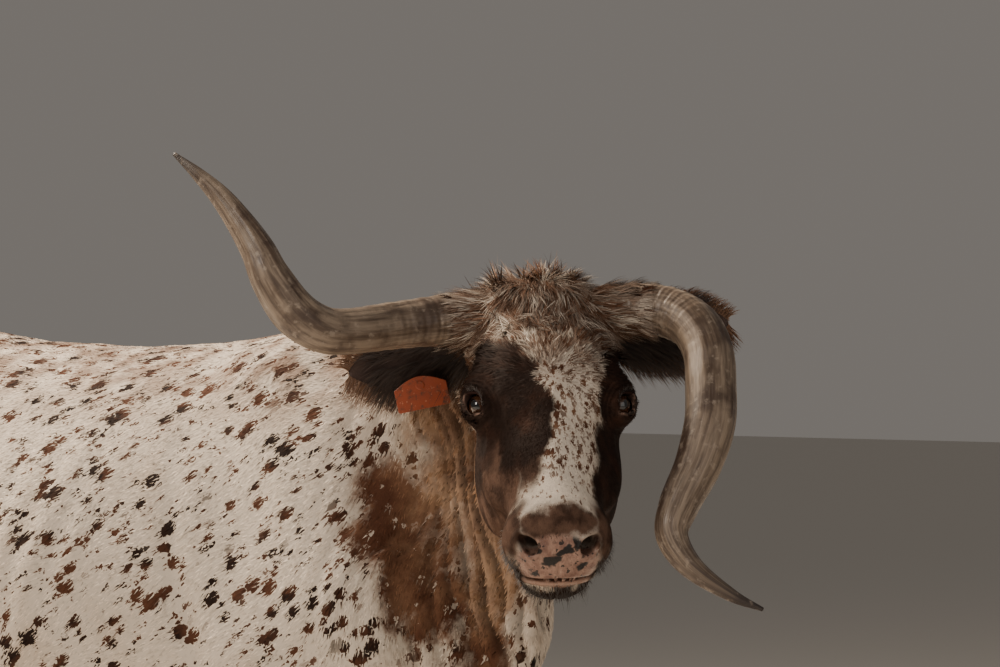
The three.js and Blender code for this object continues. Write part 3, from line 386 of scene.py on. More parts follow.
@dataclass(frozen=True)
class Trunk:
    """The barrel of the body with its shoulders, hips and flank hollows.

    Each station is its place along Y, topline, underline, half width, and the height of the
    widest place.
    """

    stations: tuple[tuple[float, ...], ...] = (
        (-800, 905, 715, 62, 800),
        (-700, 1085, 628, 165, 850),
        (-600, 1210, 602, 208, 880),
        (-450, 1268, 592, 232, 880),
        (-300, 1252, 588, 258, 885),
        (-100, 1240, 570, 292, 880),
        (100, 1246, 562, 298, 890),
        (260, 1260, 598, 268, 950),
        (420, 1276, 682, 232, 1080),
        (600, 1284, 775, 205, 1060),
        (720, 1264, 870, 160, 1080),
        (830, 1205, 960, 112, 1090),
    )
    front: float = -815
    rear: float = 826
    end_rounding: float = 70
    back_sharpness: float = 1.85
    belly_fullness: float = 2.35

    def barrel(self) -> Form:
        """Makes the egg-shaped section that follows the stations.

        Returns:
            The form.
        """
        at, *columns = zip(*self.stations)
        top, bottom, half, widest = (curve_through(at, column) for column in columns)

        def measure(points: Array) -> Array:
            """Gives how far outside the barrel places are.

            Args:
                points: places in mm.

            Returns:
                One distance in mm per place.
            """
            y = points[:, 1]
            middle = widest(y)
            rise = points[:, 2] - middle
            height = np.where(rise > 0, top(y) - middle, middle - bottom(y))
            power = np.where(rise > 0, self.back_sharpness, self.belly_fullness)
            across = np.abs(points[:, 0]) / half(y)
            scaled = (across**power + (np.abs(rise) / height) ** power) ** (1 / power)
            reach = np.maximum(np.hypot(points[:, 0], rise), 1)
            section = np.where(scaled > 0.02, reach * (1 - 1 / np.maximum(scaled, 0.02)), -height)
            ends = np.maximum(self.front - y, y - self.rear)
            return -smooth_union(-section, -ends, self.end_rounding)

        return Form(measure, vec(-300, self.front, 560), vec(300, self.rear, 1290))

    def shoulder(self, side: int) -> Form:
        """Makes one shoulder: the blade, the upper arm and its point.

        Args:
            side: -1 for the right side, 1 for the left.

        Returns:
            The form.
        """
        blade = bar(
            Joint(vec(side * 92, -430, 1165), 44, 92),
            Joint(vec(side * 160, -640, 890), 62, 108),
            LEFTWARDS,
        )
        arm = blob(vec(side * 158, -520, 800), (62, 128, 128))
        point = blob(vec(side * 156, -672, 842), (54, 66, 74))
        return blended([Piece(blade, 30), Piece(arm, 50), Piece(point, 50)])

    def hip(self, side: int) -> Form:
        """Makes one hip: the hook bone and the edge that runs back to the pin bone.

        Args:
            side: -1 for the right side, 1 for the left.

        Returns:
            The form.
        """
        hook = blob(vec(side * 188, 415, 1196), (42, 74, 38))
        edge = bar(
            Joint(vec(side * 186, 420, 1200), 30, 30),
            Joint(vec(side * 92, 770, 1150), 34, 46),
            LEFTWARDS,
        )
        return blended([Piece(hook, 36), Piece(edge, 40)])

    def form(self) -> Form:
        """Blends the whole trunk."""
        hollows = [blob(vec(side * 268, 330, 1136), (34, 84, 62)) for side in BOTH_SIDES]
        return blended(
            [Piece(self.barrel(), 1)]
            + [Piece(self.shoulder(side), 70) for side in BOTH_SIDES]
            + [Piece(self.hip(side), 60) for side in BOTH_SIDES]
            + [Piece(hollow, 60, cut=True) for hollow in hollows]
        )


@dataclass(frozen=True)
class Neck:
    """The neck as a crest line and a gullet line, with the dewlap under it."""

    crest: tuple[Joint, ...] = (
        Joint(vec(0, -560, 1060), 140, 200),
        Joint(vec(-15, -680, 1142), 108, 140),
        Joint(vec(-50, -790, 1214), 86, 92),
        Joint(vec(-94, -900, 1258), 70, 66),
    )
    gullet: tuple[Joint, ...] = (
        Joint(vec(0, -640, 860), 122, 165),
        Joint(vec(-18, -755, 952), 86, 118),
        Joint(vec(-40, -826, 1044), 62, 80),
        Joint(vec(-60, -884, 1132), 52, 54),
    )
    dewlap_line: tuple[Joint, ...] = (
        Joint(vec(-84, -900, 1085), 20, 46),
        Joint(vec(-60, -866, 985), 20, 62),
        Joint(vec(-34, -836, 860), 22, 78),
        Joint(vec(-10, -790, 735), 26, 88),
        Joint(vec(0, -690, 650), 30, 66),
        Joint(vec(0, -560, 622), 32, 48),
    )
    side: tuple[float, float, float] = (0.9, -0.43, 0)

    def form(self) -> Form:
        """Makes the neck."""
        side = vec(*self.side)
        return blended(
            [Piece(chain(self.crest, side, 60), 1), Piece(chain(self.gullet, side, 60), 60)]
        )

    def dewlap(self) -> Form:
        """Makes the hanging fold."""
        return chain(self.dewlap_line, vec(*self.side), 40)


@dataclass(frozen=True)
class EyeSocket:
    """Where one eye sits and how its lids open, in the head's axes."""

    side: int
    across: float = 92
    along: float = 206
    out: float = -62
    ball: float = 20.6
    lid: float = 24.6
    length: float = 37
    height: float = 25
    tilt: float = math.radians(14)
    inward: float = 0.8
    gaze: tuple[float, float, float] = (0.6, 0.45, 0.62)
    corner: tuple[float, float, float] = (15.5, -1.5, 13.5)

    def centre(self) -> Array:
        """Returns the middle of the eyeball."""
        return head_point(self.side * self.across, self.along, self.out)

    def axes(self) -> Array:
        """Returns the directions to the nose, to the brow and of the gaze, as columns.

        Returns:
            Three unit directions.
        """
        across, along, out = self.gaze
        gaze = unit(ACROSS * self.side * across + ALONG * along + OUT * out)
        noseward = ALONG - OUT * math.tan(self.tilt) - ACROSS * self.side * self.inward
        noseward = unit(noseward - gaze * (noseward @ gaze))
        brow = np.cross(gaze, noseward) * -self.side
        return np.stack([noseward, brow, gaze], axis=1)

    def local(self, points: Array) -> Array:
        """Returns places in the eye's own axes."""
        return (points - self.centre()) @ self.axes()

    def opening(self, local: Array) -> Array:
        """Gives how far outside the almond between the lids places are.

        Args:
            local: places in the eye's own axes.

        Returns:
            One distance in mm per place.
        """
        half = self.length / 2
        nose, brow = local[:, 0], local[:, 1]
        rim = self.height / 2 * (1 - np.square(np.clip(nose / half, -1.3, 1.3)))
        lowered = np.where(brow > 0, 1.12, 0.9)
        return np.maximum((np.abs(brow) - rim * lowered) * 0.85, -local[:, 2])

    def carve(self, total: Array, points: Array) -> Array:
        """Adds the lids to a distance field and opens them over the eyeball.

        Args:
            total: the field so far, at the points.
            points: places in the cow's axes.

        Returns:
            The field with the lids.
        """
        local = self.local(points)
        distance = np.linalg.norm(local, axis=1)
        near = distance < 95
        part, reach = local[near], distance[near]
        value = smooth_union(total[near], reach - self.lid, 11)
        ring = np.hypot(part[:, 0] * 0.82, part[:, 1] * 1.15)
        upper = ramp(-4, 9, part[:, 1])
        over = bell(ring - 25.5, 1.9) * 2.0 + bell(ring - 31.5, 2.0) * 1.7 + bell(ring - 38, 2.4) * 1.3
        under = bell(ring - 26, 2.2) * 1.2 + bell(ring - 33, 2.6) * 1.1
        value += over * upper + under * (1 - upper) * ramp(6, -8, part[:, 1])
        value -= bell(self.opening(part) - 2.2, 2.4) * 1.1 * ramp(34, 24, reach)
        value = smooth_cut(value, self.opening(part), 2.4)
        value = smooth_cut(value, reach - self.ball - 0.5, 1.0)
        lump = np.linalg.norm(part - vec(*self.corner), axis=1) - 3.4
        total[near] = smooth_union(value, lump, 2.0)
        return total


@dataclass(frozen=True)
class Head:
    """The skull, jaw, muzzle and mouth, in the head's own axes."""

    nostril_mouth: tuple[float, ...] = (39, 485, -72, 13.5, 8.5)
    nostril_inner: tuple[float, ...] = (30, 450, -88, 8, 6)
    nostril_wing: tuple[float, ...] = (51, 475, -66, 8, 4)
    nostril_slant: tuple[float, float, float] = (0.75, 0.1, 0.65)
    mouth_corner: float = 407
    mouth_out: float = -139
    mouth_rise: float = 26.0 / 128.0
    mouth_depth: float = 15

    def lump(self, across: float, along: float, out: float, radii: Sequence[float]) -> Form:
        """Makes an ellipsoid in the head's axes."""
        return blob(head_point(across, along, out), radii, HEAD_AXES)

    def beam(self, start: Sequence[float], end: Sequence[float]) -> Form:
        """Makes a bar between two places with their half width and half depth."""
        ends = [Joint(head_point(*row[:3]), row[3], row[4]) for row in (start, end)]
        return bar(ends[0], ends[1], ACROSS)

    def skull(self) -> Form:
        """Makes the skull, orbits, cheeks, nose and muzzle."""
        return blended(
            [
                Piece(self.lump(0, 56, -112, (90, 98, 92)), 1),
                Piece(self.lump(0, 22, -43, (102, 46, 45)), 40),
                Piece(self.lump(0, 140, -52, (98, 140, 52)), 40),
                Piece(self.beam((0, 170, -92, 88, 84), (0, 307, -98, 71, 67)), 40),
                Piece(self.beam((0, 307, -98, 71, 67), (0, 414, -98, 61, 55)), 30),
                Piece(self.lump(0, 448, -98, (72, 56, 50)), 40),
            ]
            + [Piece(self.lump(s * 92, 190, -65, (30, 44, 31)), 26) for s in BOTH_SIDES]
            + [Piece(self.lump(s * 63, 226, -166, (38, 102, 76)), 40) for s in BOTH_SIDES]
            + [Piece(self.lump(s * 66, 290, -118, (24, 54, 24)), 30) for s in BOTH_SIDES]
        )

    def jaw(self) -> Form:
        """Makes the lower jaw and the chin.

        Returns:
            The form.
        """
        sides = [
            Piece(self.beam((s * 50, 176, -206, 28, 38), (s * 30, 375, -156, 25, 25)), 30)
            for s in BOTH_SIDES
        ]
        floor = Piece(self.beam((0, 200, -192, 54, 42), (0, 405, -156, 38, 26)), 30)
        chin = Piece(self.lump(0, 444, -159, (48, 37, 29)), 26)
        return blended(sides + [floor, chin])

    def mouth_height(self, local: Array) -> Array:
        """Gives how far above the line of the mouth places in the head's axes are.

        Args:
            local: places in the head's axes.

        Returns:
            One height in mm per place.
        """
        line = self.mouth_out + (local[:, 1] - self.mouth_corner) * self.mouth_rise
        droop = 9 * np.square(local[:, 0] / 50) * ramp(410, 486, local[:, 1])
        return local[:, 2] - line + droop

    def nostril(self, local: Array) -> Array:
        """Gives how far outside the comma-shaped nostrils places are.

        Args:
            local: places in the head's axes.

        Returns:
            One distance in mm per place.
        """
        side = np.abs(local[:, 0])
        at = np.stack([side, local[:, 1], local[:, 2]], axis=1)
        rows = (self.nostril_mouth, self.nostril_inner, self.nostril_wing)
        mouth, inner, wing = (Joint(vec(*row[:3]), *row[3:]) for row in rows)
        slant = vec(*self.nostril_slant)
        hole = bar(mouth, inner, slant).measure(at)
        return smooth_union(hole, bar(mouth, wing, slant).measure(at), 8)

    def carve(self, total: Array, points: Array) -> Array:
        """Cuts the mouth and nostrils and raises the lips, pad and wrinkles.

        Args:
            total: the field so far, at the points.
            points: places in the cow's axes.

        Returns:
            The field with the muzzle's forms.
        """
        local = in_head(points)
        reach = (np.abs(local[:, 0]) < 130) & (local[:, 2] > -250) & (local[:, 2] < 40)
        near = reach & (local[:, 1] > 290) & (local[:, 1] < 590)
        if not near.any():
            return total
        part = local[near]
        value = total[near].copy()
        across, along, out = np.abs(part[:, 0]), part[:, 1], part[:, 2]
        front = ramp(400, 468, along)
        height = self.mouth_height(part)
        nostril = self.nostril(part)
        value -= bell(nostril - 4, 5.5) * 3.2 * ramp(-5, 1, nostril)
        value += bell(across, 2.2) * 1.8 * ramp(-80, -96, out) * front
        value -= bell(height - 9, 8) * 2.4 * front
        value -= bell(height + 11, 7) * 4.2 * front
        value += bell(height + 24, 6) * 1.6 * front
        folds = np.sin((across * 0.55 + (out + 96) * 0.7) / 3.1)
        value += folds * 0.55 * ramp(464, 438, along) * front * ramp(-140, -110, out)
        value += bell(np.hypot(across - 46, out + 68) - 24, 3.0) * 1.8 * ramp(478, 458, along) * front
        open_half = 1.0 + 3.4 * ramp(424, 482, along)
        groove = np.maximum(np.abs(height) - open_half, self.mouth_corner - along)
        groove = np.maximum(groove, -(value + self.mouth_depth))
        value = smooth_cut(value, groove, 3.0)
        value = smooth_cut(value, nostril, 4.0)
        total[near] = value
        return total


@dataclass(frozen=True)
class Leg:
    """One leg down its row of joints: half spread, Y, height, half width and half depth."""

    side: int
    stride: float
    fore: bool
    fore_joints: tuple[tuple[float, ...], ...] = (
        (160, -470, 790, 60, 125),
        (156, -452, 675, 56, 88),
        (148, -458, 550, 45, 60),
        (142, -468, 440, 37, 43),
        (140, -474, 375, 45, 43),
        (138, -472, 322, 33, 35),
        (134, -472, 230, 27, 30),
        (130, -476, 145, 39, 40),
        (130, -500, 104, 38, 35),
        (130, -520, 62, 46, 48),
    )
    hind_joints: tuple[tuple[float, ...], ...] = (
        (108, 612, 1160, 58, 140),
        (142, 596, 1030, 72, 182),
        (158, 575, 890, 80, 192),
        (163, 540, 750, 70, 148),
        (158, 638, 620, 49, 82),
        (151, 735, 520, 36, 56),
        (149, 757, 455, 36, 46),
        (146, 752, 330, 28, 34),
        (145, 743, 155, 39, 41),
        (145, 718, 106, 38, 36),
        (145, 698, 62, 46, 48),
    )

    def joints(self) -> list[Joint]:
        """Returns the joints with the stride let in from the top down.

        Returns:
            The joints from the top down.
        """
        rows = self.fore_joints if self.fore else self.hind_joints
        top = rows[0][2]
        return [
            Joint(vec(self.side * x, y - self.stride * (top - z) / top, z), wide, deep)
            for x, y, z, wide, deep in rows
        ]

    def form(self) -> Form:
        """Makes the leg down to the coronet.

        Returns:
            The form.
        """
        joints = self.joints()
        coronet = joints[-1].at + UP * 8
        ankle = blob(coronet, (43, 46, 26))
        return blended([Piece(chain(joints[:-1], LEFTWARDS, 24), 1), Piece(ankle, 30)])

    def tendons(self, points: Array) -> Array:
        """Gives the height of the tendons and the grooves beside them.

        Args:
            points: places in mm.

        Returns:
            One height in mm per place.
        """
        joints = self.joints()
        cannon = [joint.at for joint in joints[-5:-2]]
        behind = [at + vec(0, 26, 0) for at in cannon]
        rise = bell(line_distance(points, behind), 11) * 4.0
        for way in BOTH_SIDES:
            groove = [at + vec(way * 27, 13, 0) for at in cannon]
            rise -= bell(line_distance(points, groove), 9) * 3.4
        return rise


LEGS = {
    "fore_right": Leg(-1, 34, True),
    "fore_left": Leg(1, -30, True),
    "hind_right": Leg(-1, 46, False),
    "hind_left": Leg(1, -34, False),
}


@dataclass(frozen=True)
class HindParts:
    """The udder with its teats, and the dock of the tail."""

    udder_at: tuple[float, float, float] = (0, 500, 684)
    udder_radii: tuple[float, float, float] = (88, 128, 88)
    teat_spread: float = 38
    teat_step: float = 46
    teat_top: float = 640
    teat_length: float = 46
    teat_radius: float = 11
    dock: tuple[tuple[float, float, float], ...] = (
        (742, 1248, 36),
        (806, 1226, 31),
        (846, 1130, 26),
        (853, 960, 21),
        (850, 780, 17),
        (848, 640, 15),
    )

    def udder(self) -> Form:
        """Makes the udder and four teats.

        Returns:
            The form.
        """
        teats = []
        for side in BOTH_SIDES:
            for way in BOTH_SIDES:
                x = side * self.teat_spread
                y = self.udder_at[1] + way * self.teat_step
                top = Joint(vec(x, y, self.teat_top), self.teat_radius * 1.2, self.teat_radius * 1.2)
                tip = Joint(
                    vec(x, y, self.teat_top - self.teat_length + 6),
                    self.teat_radius * 0.7,
                    self.teat_radius * 0.7,
                )
                teats.append(Piece(bar(top, tip, LEFTWARDS), 9))
        return blended([Piece(blob(vec(*self.udder_at), self.udder_radii), 1)] + teats)

    def tail(self) -> Form:
        """Makes the dock down to the switch."""
        rows = [Joint(vec(0, y, z), radius, radius) for y, z, radius in self.dock]
        return chain(rows, LEFTWARDS, 30)


SOCKETS = {"right": EyeSocket(-1), "left": EyeSocket(1)}
HEAD = Head()
HIND = HindParts()
NECK_WAY = unit(vec(0.34, 0.94, 0))
NECK_START = vec(-94, -900, 0)


def neck_pleats(points: Array) -> Array:
    """Gives 1 in the grooves of the fine upright pleats behind the jaw and 0 elsewhere.

    Args:
        points: places in mm.

    Returns:
        One value per place.
    """
    z = points[:, 2]
    along = (points - NECK_START) @ NECK_WAY
    wander = 12 * np.sin(z / 110) + 3 * np.sin(z / 48 + 1) + ripple(points, 190, 5) * 6
    groove = 1 - np.abs(np.sin(math.pi * (along + wander) / 18)) ** 1.3
    region = bell(along - 58, 82) * ramp(720, 850, z) * ramp(1290, 1180, z)
    return groove * region * ramp(-560, -640, points[:, 1])


@dataclass(frozen=True)
class Body:
    """The whole skin as one field, inside the solids by the coat's depth.

    Each muscle edge and face fold is a line of places on the left side, its width and its height
    in mm. The folds' places are in the head's axes.
    """

    coat_depth: float = 4.5
    face_depth: float = 2.2
    muzzle_depth: float = 0.8
    bare_depth: float = 1.0
    leg_depth: float = 2.6
    pleat_depth: float = 7.0
    muscle_edges: tuple[tuple[Any, ...], ...] = (
        (((232, 452, 790), (262, 372, 880), (250, 330, 985)), 22, 9),
        (((92, -380, 1228), (150, -470, 1100), (188, -610, 930)), 26, 6),
        (((178, -330, 1080), (232, -360, 930), (238, -400, 790)), 24, -7),
        (((240, -380, 742), (226, -330, 700), (196, -300, 660)), 12, -6),
        (((218, -402, 702), (206, -352, 662), (180, -318, 634)), 10, -5),
        (((200, 560, 1120), (222, 520, 980), (232, 470, 850)), 26, 5),
        (((150, 742, 1080), (186, 700, 930), (190, 690, 800)), 20, -6),
        (((168, 650, 700), (160, 730, 620), (152, 782, 560)), 12, 6),
        (((120, 60, 572), (130, -150, 584), (120, -330, 606)), 11, 5),
    )
    face_folds: tuple[tuple[Any, ...], ...] = (
        (((72, 238, -40), (58, 300, -62), (54, 380, -76)), 8, -2.6),
        (((84, 250, -76), (74, 320, -112), (66, 400, -122)), 9, 2.4),
        (((62, 260, -60), (60, 340, -88), (62, 420, -104)), 3.0, 1.5),
        (((82, 150, -150), (84, 230, -214), (60, 320, -176)), 12, 2.5),
        (((40, 120, 2), (52, 170, -8), (60, 214, -24)), 13, 2.6),
        (((0, 236, -12), (0, 320, -26), (0, 430, -42)), 22, 2.0),
        (((76, 96, -60), (96, 140, -84), (92, 120, -140)), 20, -4.5),
    )

    def base(self) -> Form:
        """Blends every part of flesh.

        Returns:
            The form.
        """
        neck = Neck()
        pieces = [
            Piece(Trunk().form(), 1),
            Piece(neck.form(), 90),
            Piece(HEAD.skull(), 60),
            Piece(HEAD.jaw(), 26),
            Piece(neck.dewlap(), 56),
        ]
        pieces += [Piece(leg.form(), 46) for leg in LEGS.values()]
        pieces += [Piece(HIND.udder(), 30), Piece(HIND.tail(), 26)]
        return blended(pieces)

    def depth(self, points: Array) -> Array:
        """Gives how deep the skin lies inside the solids.

        Args:
            points: places in mm.

        Returns:
            One depth in mm per place.
        """
        local = in_head(points)
        on_head = ramp(-60, 60, local[:, 1]) * ramp(200, 150, np.abs(local[:, 0]))
        muzzle = on_head * ramp(395, 468, local[:, 1])
        depth = blend_values(self.coat_depth, self.face_depth, on_head)
        depth = blend_values(depth, self.muzzle_depth, muzzle)
        udder = np.linalg.norm((points - vec(*HIND.udder_at)) / vec(120, 160, 120), axis=1)
        depth = blend_values(depth, self.bare_depth, ramp(1.25, 0.9, udder))
        return blend_values(depth, self.leg_depth, ramp(420, 300, points[:, 2]))

    def relief(self, points: Array) -> Array:
        """Gives how far the skin stands out in folds, ribs and tendons.

        Args:
            points: places in mm.

        Returns:
            One height in mm per place.
        """
        x, y, z = points.T
        rise = (ripple(points, 260, 3) * 1.6 + ripple(points, 95, 4) * 0.7) * ramp(822, 790, y)
        along = (points - NECK_START) @ NECK_WAY
        body = ramp(-560, -640, y)
        rise -= neck_pleats(points) * self.pleat_depth
        wander = 14 * np.sin(z / 72) + ripple(points, 120, 5) * 8
        broad = 1 - np.abs(np.sin(math.pi * (along + wander) / 41)) ** 0.7
        rise -= broad * 6.5 * bell(along - 60, 190) * ramp(620, 760, z) * ramp(1260, 1120, z) * body
        hanging = bell(line_distance(points, [joint.at for joint in Neck().dewlap_line]), 70)
        sway = np.sin((along * 0.9 + 12 * np.sin(z / 60)) / 5.4)
        rise += sway * 2.6 * hanging * ramp(1060, 960, z)
        ribs = np.sin((y + 0.28 * (z - 900)) * (2 * math.pi / 66))
        rise += ribs * 1.9 * ramp(-260, -150, y) * ramp(350, 240, y) * bell(z - 900, 190)
        for side in BOTH_SIDES:
            rise += self.side_folds(points, side)
        for leg in LEGS.values():
            at = leg.joints()[-3].at
            low = (np.abs(x - at[0]) < 90) & (z < 620) & (np.abs(y - at[1]) < 190)
            if low.any():
                rise[low] += leg.tendons(points[low]) * ramp(400, 330, z[low])
        return rise

    def side_folds(self, points: Array, side: int) -> Array:
        """Gives the folds and muscle edges of one side of the body.

        Args:
            points: places in mm.
            side: -1 for the right side, 1 for the left.

        Returns:
            One height in mm per place.
        """
        rise = np.zeros(len(points))
        for line, width, height in self.muscle_edges:
            places = [vec(side * x, y, z) for x, y, z in line]
            rise += bell(line_distance(points, places), width) * height
        local = in_head(points)
        near = (np.abs(local[:, 1] - 250) < 260) & (np.abs(local[:, 0]) < 170)
        if near.any():
            part = local[near]
            for line, width, height in self.face_folds:
                places = [vec(side * a, b, c) for a, b, c in line]
                share = 0.5 if line[0][0] == 0 else 1.0
                rise[near] += bell(line_distance(part, places), width) * height * share
        return rise

    def field(self) -> Measure:
        """Returns the finished field of the skin.

        Returns:
            What gives how far outside the skin places are.
        """
        base = self.base()

        def measure(points: Array) -> Array:
            """Gives how far outside the skin places are.

            Args:
                points: places in mm.

            Returns:
                One distance in mm per place.
            """
            total = base.measure(points)
            close = np.abs(total) < 140
            part = points[close]
            value = total[close] + self.depth(part) - self.relief(part)
            for socket in SOCKETS.values():
                value = socket.carve(value, part)
            total[close] = HEAD.carve(value, part)
            return total

        return measure


@dataclass
class Surface:
    """A closed triangle mesh on a field.

    Attributes:
        points: its vertices in mm.
        faces: three vertices a face.
        normals: outward directions at the vertices.
    """

    points: Array
    faces: Array
    normals: Array

    def edges(self) -> tuple[Array, Array]:
        """Returns each edge once, and the three edges of each face.

        Returns:
            The two vertices of each edge, and the edges' numbers face by face.
        """
        pairs = np.sort(self.faces[:, [[0, 1], [1, 2], [2, 0]]], axis=2).reshape(-1, 2)
        keys = pairs[:, 0].astype(np.int64) * len(self.points) + pairs[:, 1]
        kept, back = np.unique(keys, return_inverse=True)
        edges = np.stack([kept // len(self.points), kept % len(self.points)], axis=1)
        return edges, back.reshape(-1, 3)

    def areas(self) -> Array:
        """Returns the area of each face in square mm."""
        a, b, c = (self.points[self.faces[:, k]] for k in range(3))
        return np.linalg.norm(np.cross(b - a, c - a), axis=1) / 2


EDGE_CORNERS = tuple((x, y, z) for x in (0, 1) for y in (0, 1) for z in (0, 1))
GRID = 8.0
GRID_LOW = vec(-470, -1330, -8)
GRID_HIGH = vec(350, 912, 1400)
COARSE = 4
COARSE_REACH = 52.0


def sample_grid(measure: Measure) -> Array:
    """Samples the field on a grid, only near where it changes sign.

    Args:
        measure: the skin's field.

    Returns:
        The field's values on the grid.
    """
    count = (np.ceil((GRID_HIGH - GRID_LOW) / (GRID * COARSE)).astype(int)) * COARSE + 1
    axes = [GRID_LOW[k] + GRID * np.arange(count[k]) for k in range(3)]
    centres = [axis[: -1 : COARSE] + GRID * COARSE / 2 for axis in axes]
    blocks = np.stack(np.meshgrid(*centres, indexing="ij"), axis=-1)
    rough = measure(blocks.reshape(-1, 3)).reshape(blocks.shape[:3])
    values = np.where(np.kron(rough < 0, np.ones((COARSE,) * 3, bool)), -FAR, FAR)
    values = np.pad(values, ((0, 1),) * 3, mode="edge")
    active = np.zeros(values.shape, bool)
    for i, j, k in np.argwhere(np.abs(rough) < COARSE_REACH) * COARSE:
        active[i : i + COARSE + 1, j : j + COARSE + 1, k : k + COARSE + 1] = True
    index = np.argwhere(active)
    found = measure(GRID_LOW + index * GRID)
    values[tuple(index.T)] = found
    return values


def net_surface(values: Array) -> tuple[Array, Array]:
    """Meshes the sampled field with one vertex in each cell that the surface crosses.

    Args:
        values: the field on the grid.

    Returns:
        The vertices in mm and the triangles.
    """
    inside = values < 0
    size = np.array(values.shape) - 1
    crossing = np.zeros(size, int)
    for x, y, z in EDGE_CORNERS:
        crossing += inside[x : size[0] + x, y : size[1] + y, z : size[2] + z]
    cells = np.argwhere((crossing > 0) & (crossing < 8))
    number = np.full(size, -1)
    number[tuple(cells.T)] = np.arange(len(cells))
    total = np.zeros((len(cells), 3))
    count = np.zeros(len(cells))
    for corner in EDGE_CORNERS:
        for axis in range(3):
            if corner[axis]:
                continue
            start = cells + np.array(corner)
            end = start.copy()
            end[:, axis] += 1
            a, b = values[tuple(start.T)], values[tuple(end.T)]
            cross = (a < 0) != (b < 0)
            t = np.where(cross, a / np.where(cross, a - b, 1), 0)
            place = start.astype(float)
            place[:, axis] += np.clip(t, 0, 1)
            total[cross] += place[cross]
            count[cross] += 1
    points = GRID_LOW + total / count[:, None] * GRID
    quads = []
    for axis in range(3):
        one, two = (axis + 1) % 3, (axis + 2) % 3
        low = [slice(1, -1)] * 3
        low[axis] = slice(0, -1)
        high = list(low)
        high[axis] = slice(1, None)
        a, b = inside[tuple(low)], inside[tuple(high)]
        for flip, crossed in ((False, a & ~b), (True, ~a & b)):
            at = np.argwhere(crossed)
            for other in (one, two):
                at[:, other] += 1
            ring = []
            for d1, d2 in ((-1, -1), (0, -1), (0, 0), (-1, 0)):
                cell = at.copy()
                cell[:, one] += d1
                cell[:, two] += d2
                ring.append(number[tuple(cell.T)])
            quad = np.stack(ring, axis=1)
            quads.append(quad[:, ::-1] if flip else quad)
    quad = np.concatenate(quads)
    quad = quad[(quad >= 0).all(axis=1)]
    faces = np.concatenate([quad[:, [0, 1, 2]], quad[:, [0, 2, 3]]])
    return points, faces


def gradient(measure: Measure, points: Array, step: float = 0.6) -> Array:
    """Gives the steepest way out of the field at each place."""
    shifts = np.array([[1, 1, 1], [1, -1, -1], [-1, 1, -1], [-1, -1, 1]]) * step
    return sum(measure(points + shift)[:, None] * shift for shift in shifts) / (4 * step**2)


def settle(surface: Surface, measure: Measure, rounds: int, ease: float) -> None:
    """Evens out the mesh along the surface and brings it back onto the field.

    Args:
        surface: the mesh, changed in place.
        measure: the field.
        rounds: how many times.
        ease: how far each vertex moves towards its neighbours' middle.
    """
    for _ in range(rounds):
        slope = gradient(measure, surface.points)
        surface.normals = unit(slope)
        if ease:
            edges, _ = surface.edges()
            total = np.zeros_like(surface.points)
            count = np.bincount(edges.ravel(), minlength=len(surface.points))
            for k in range(3):
                for here, there in ((0, 1), (1, 0)):
                    weights = surface.points[edges[:, there], k]
                    total[:, k] += np.bincount(edges[:, here], weights, len(surface.points))
            move = total / np.maximum(count, 1)[:, None] - surface.points
            move -= surface.normals * np.sum(move * surface.normals, axis=1, keepdims=True)
            surface.points = surface.points + move * ease
        off = measure(surface.points)
        steep = np.maximum(np.linalg.norm(slope, axis=1), 0.4)
        step = np.clip(off / steep, -4, 4)
        surface.points = surface.points - surface.normals * step[:, None]


def split_edges(surface: Surface, target: Array) -> Surface:
    """Halves every edge that is long for its place.

    Args:
        surface: the mesh.
        target: the wished edge length at each vertex.

    Returns:
        The finer mesh, with new vertices in the middles of the halved edges.
    """
    edges, of_face = surface.edges()
    a, b = surface.points[edges[:, 0]], surface.points[edges[:, 1]]
    wished = (target[edges[:, 0]] + target[edges[:, 1]]) / 2
    halved = np.linalg.norm(a - b, axis=1) > wished * 1.4
    number = np.full(len(edges), -1)
    number[halved] = len(surface.points) + np.arange(halved.sum())
    points = np.vstack([surface.points, (a[halved] + b[halved]) / 2])
    faces = surface.faces
    middles = number[of_face]
    turned = halved[of_face]
    count = turned.sum(axis=1)
    result = [faces[count == 0]]
    for k in range(3):
        v = np.roll(faces, -k, axis=1)
        m = np.roll(middles, -k, axis=1)
        s = np.roll(turned, -k, axis=1)
        one = (count == 1) & s[:, 0]
        result.append(np.stack([v[one, 0], m[one, 0], v[one, 2]], axis=1))
        result.append(np.stack([m[one, 0], v[one, 1], v[one, 2]], axis=1))
        two = (count == 2) & s[:, 0] & s[:, 1]
        result.append(np.stack([m[two, 0], v[two, 1], m[two, 1]], axis=1))
        result.append(np.stack([v[two, 0], m[two, 0], m[two, 1]], axis=1))
        result.append(np.stack([v[two, 0], m[two, 1], v[two, 2]], axis=1))
    full = count == 3
    v, m = faces[full], middles[full]
    result += [
        np.stack([v[:, 0], m[:, 0], m[:, 2]], axis=1),
        np.stack([m[:, 0], v[:, 1], m[:, 1]], axis=1),
        np.stack([m[:, 2], m[:, 1], v[:, 2]], axis=1),
        m,
    ]
    normals = np.vstack([surface.normals, np.zeros((halved.sum(), 3))])
    return Surface(points, np.concatenate(result), normals)


@dataclass(frozen=True)
class EdgeLengths:
    """How long the skin's edges may be in each region, in mm."""

    body: float = 8.6
    legs: float = 6.0
    neck: float = 4.4
    head: float = 3.8
    teats: float = 3.4
    muzzle: float = 2.1
    eyes: float = 1.7


EDGES = EdgeLengths()


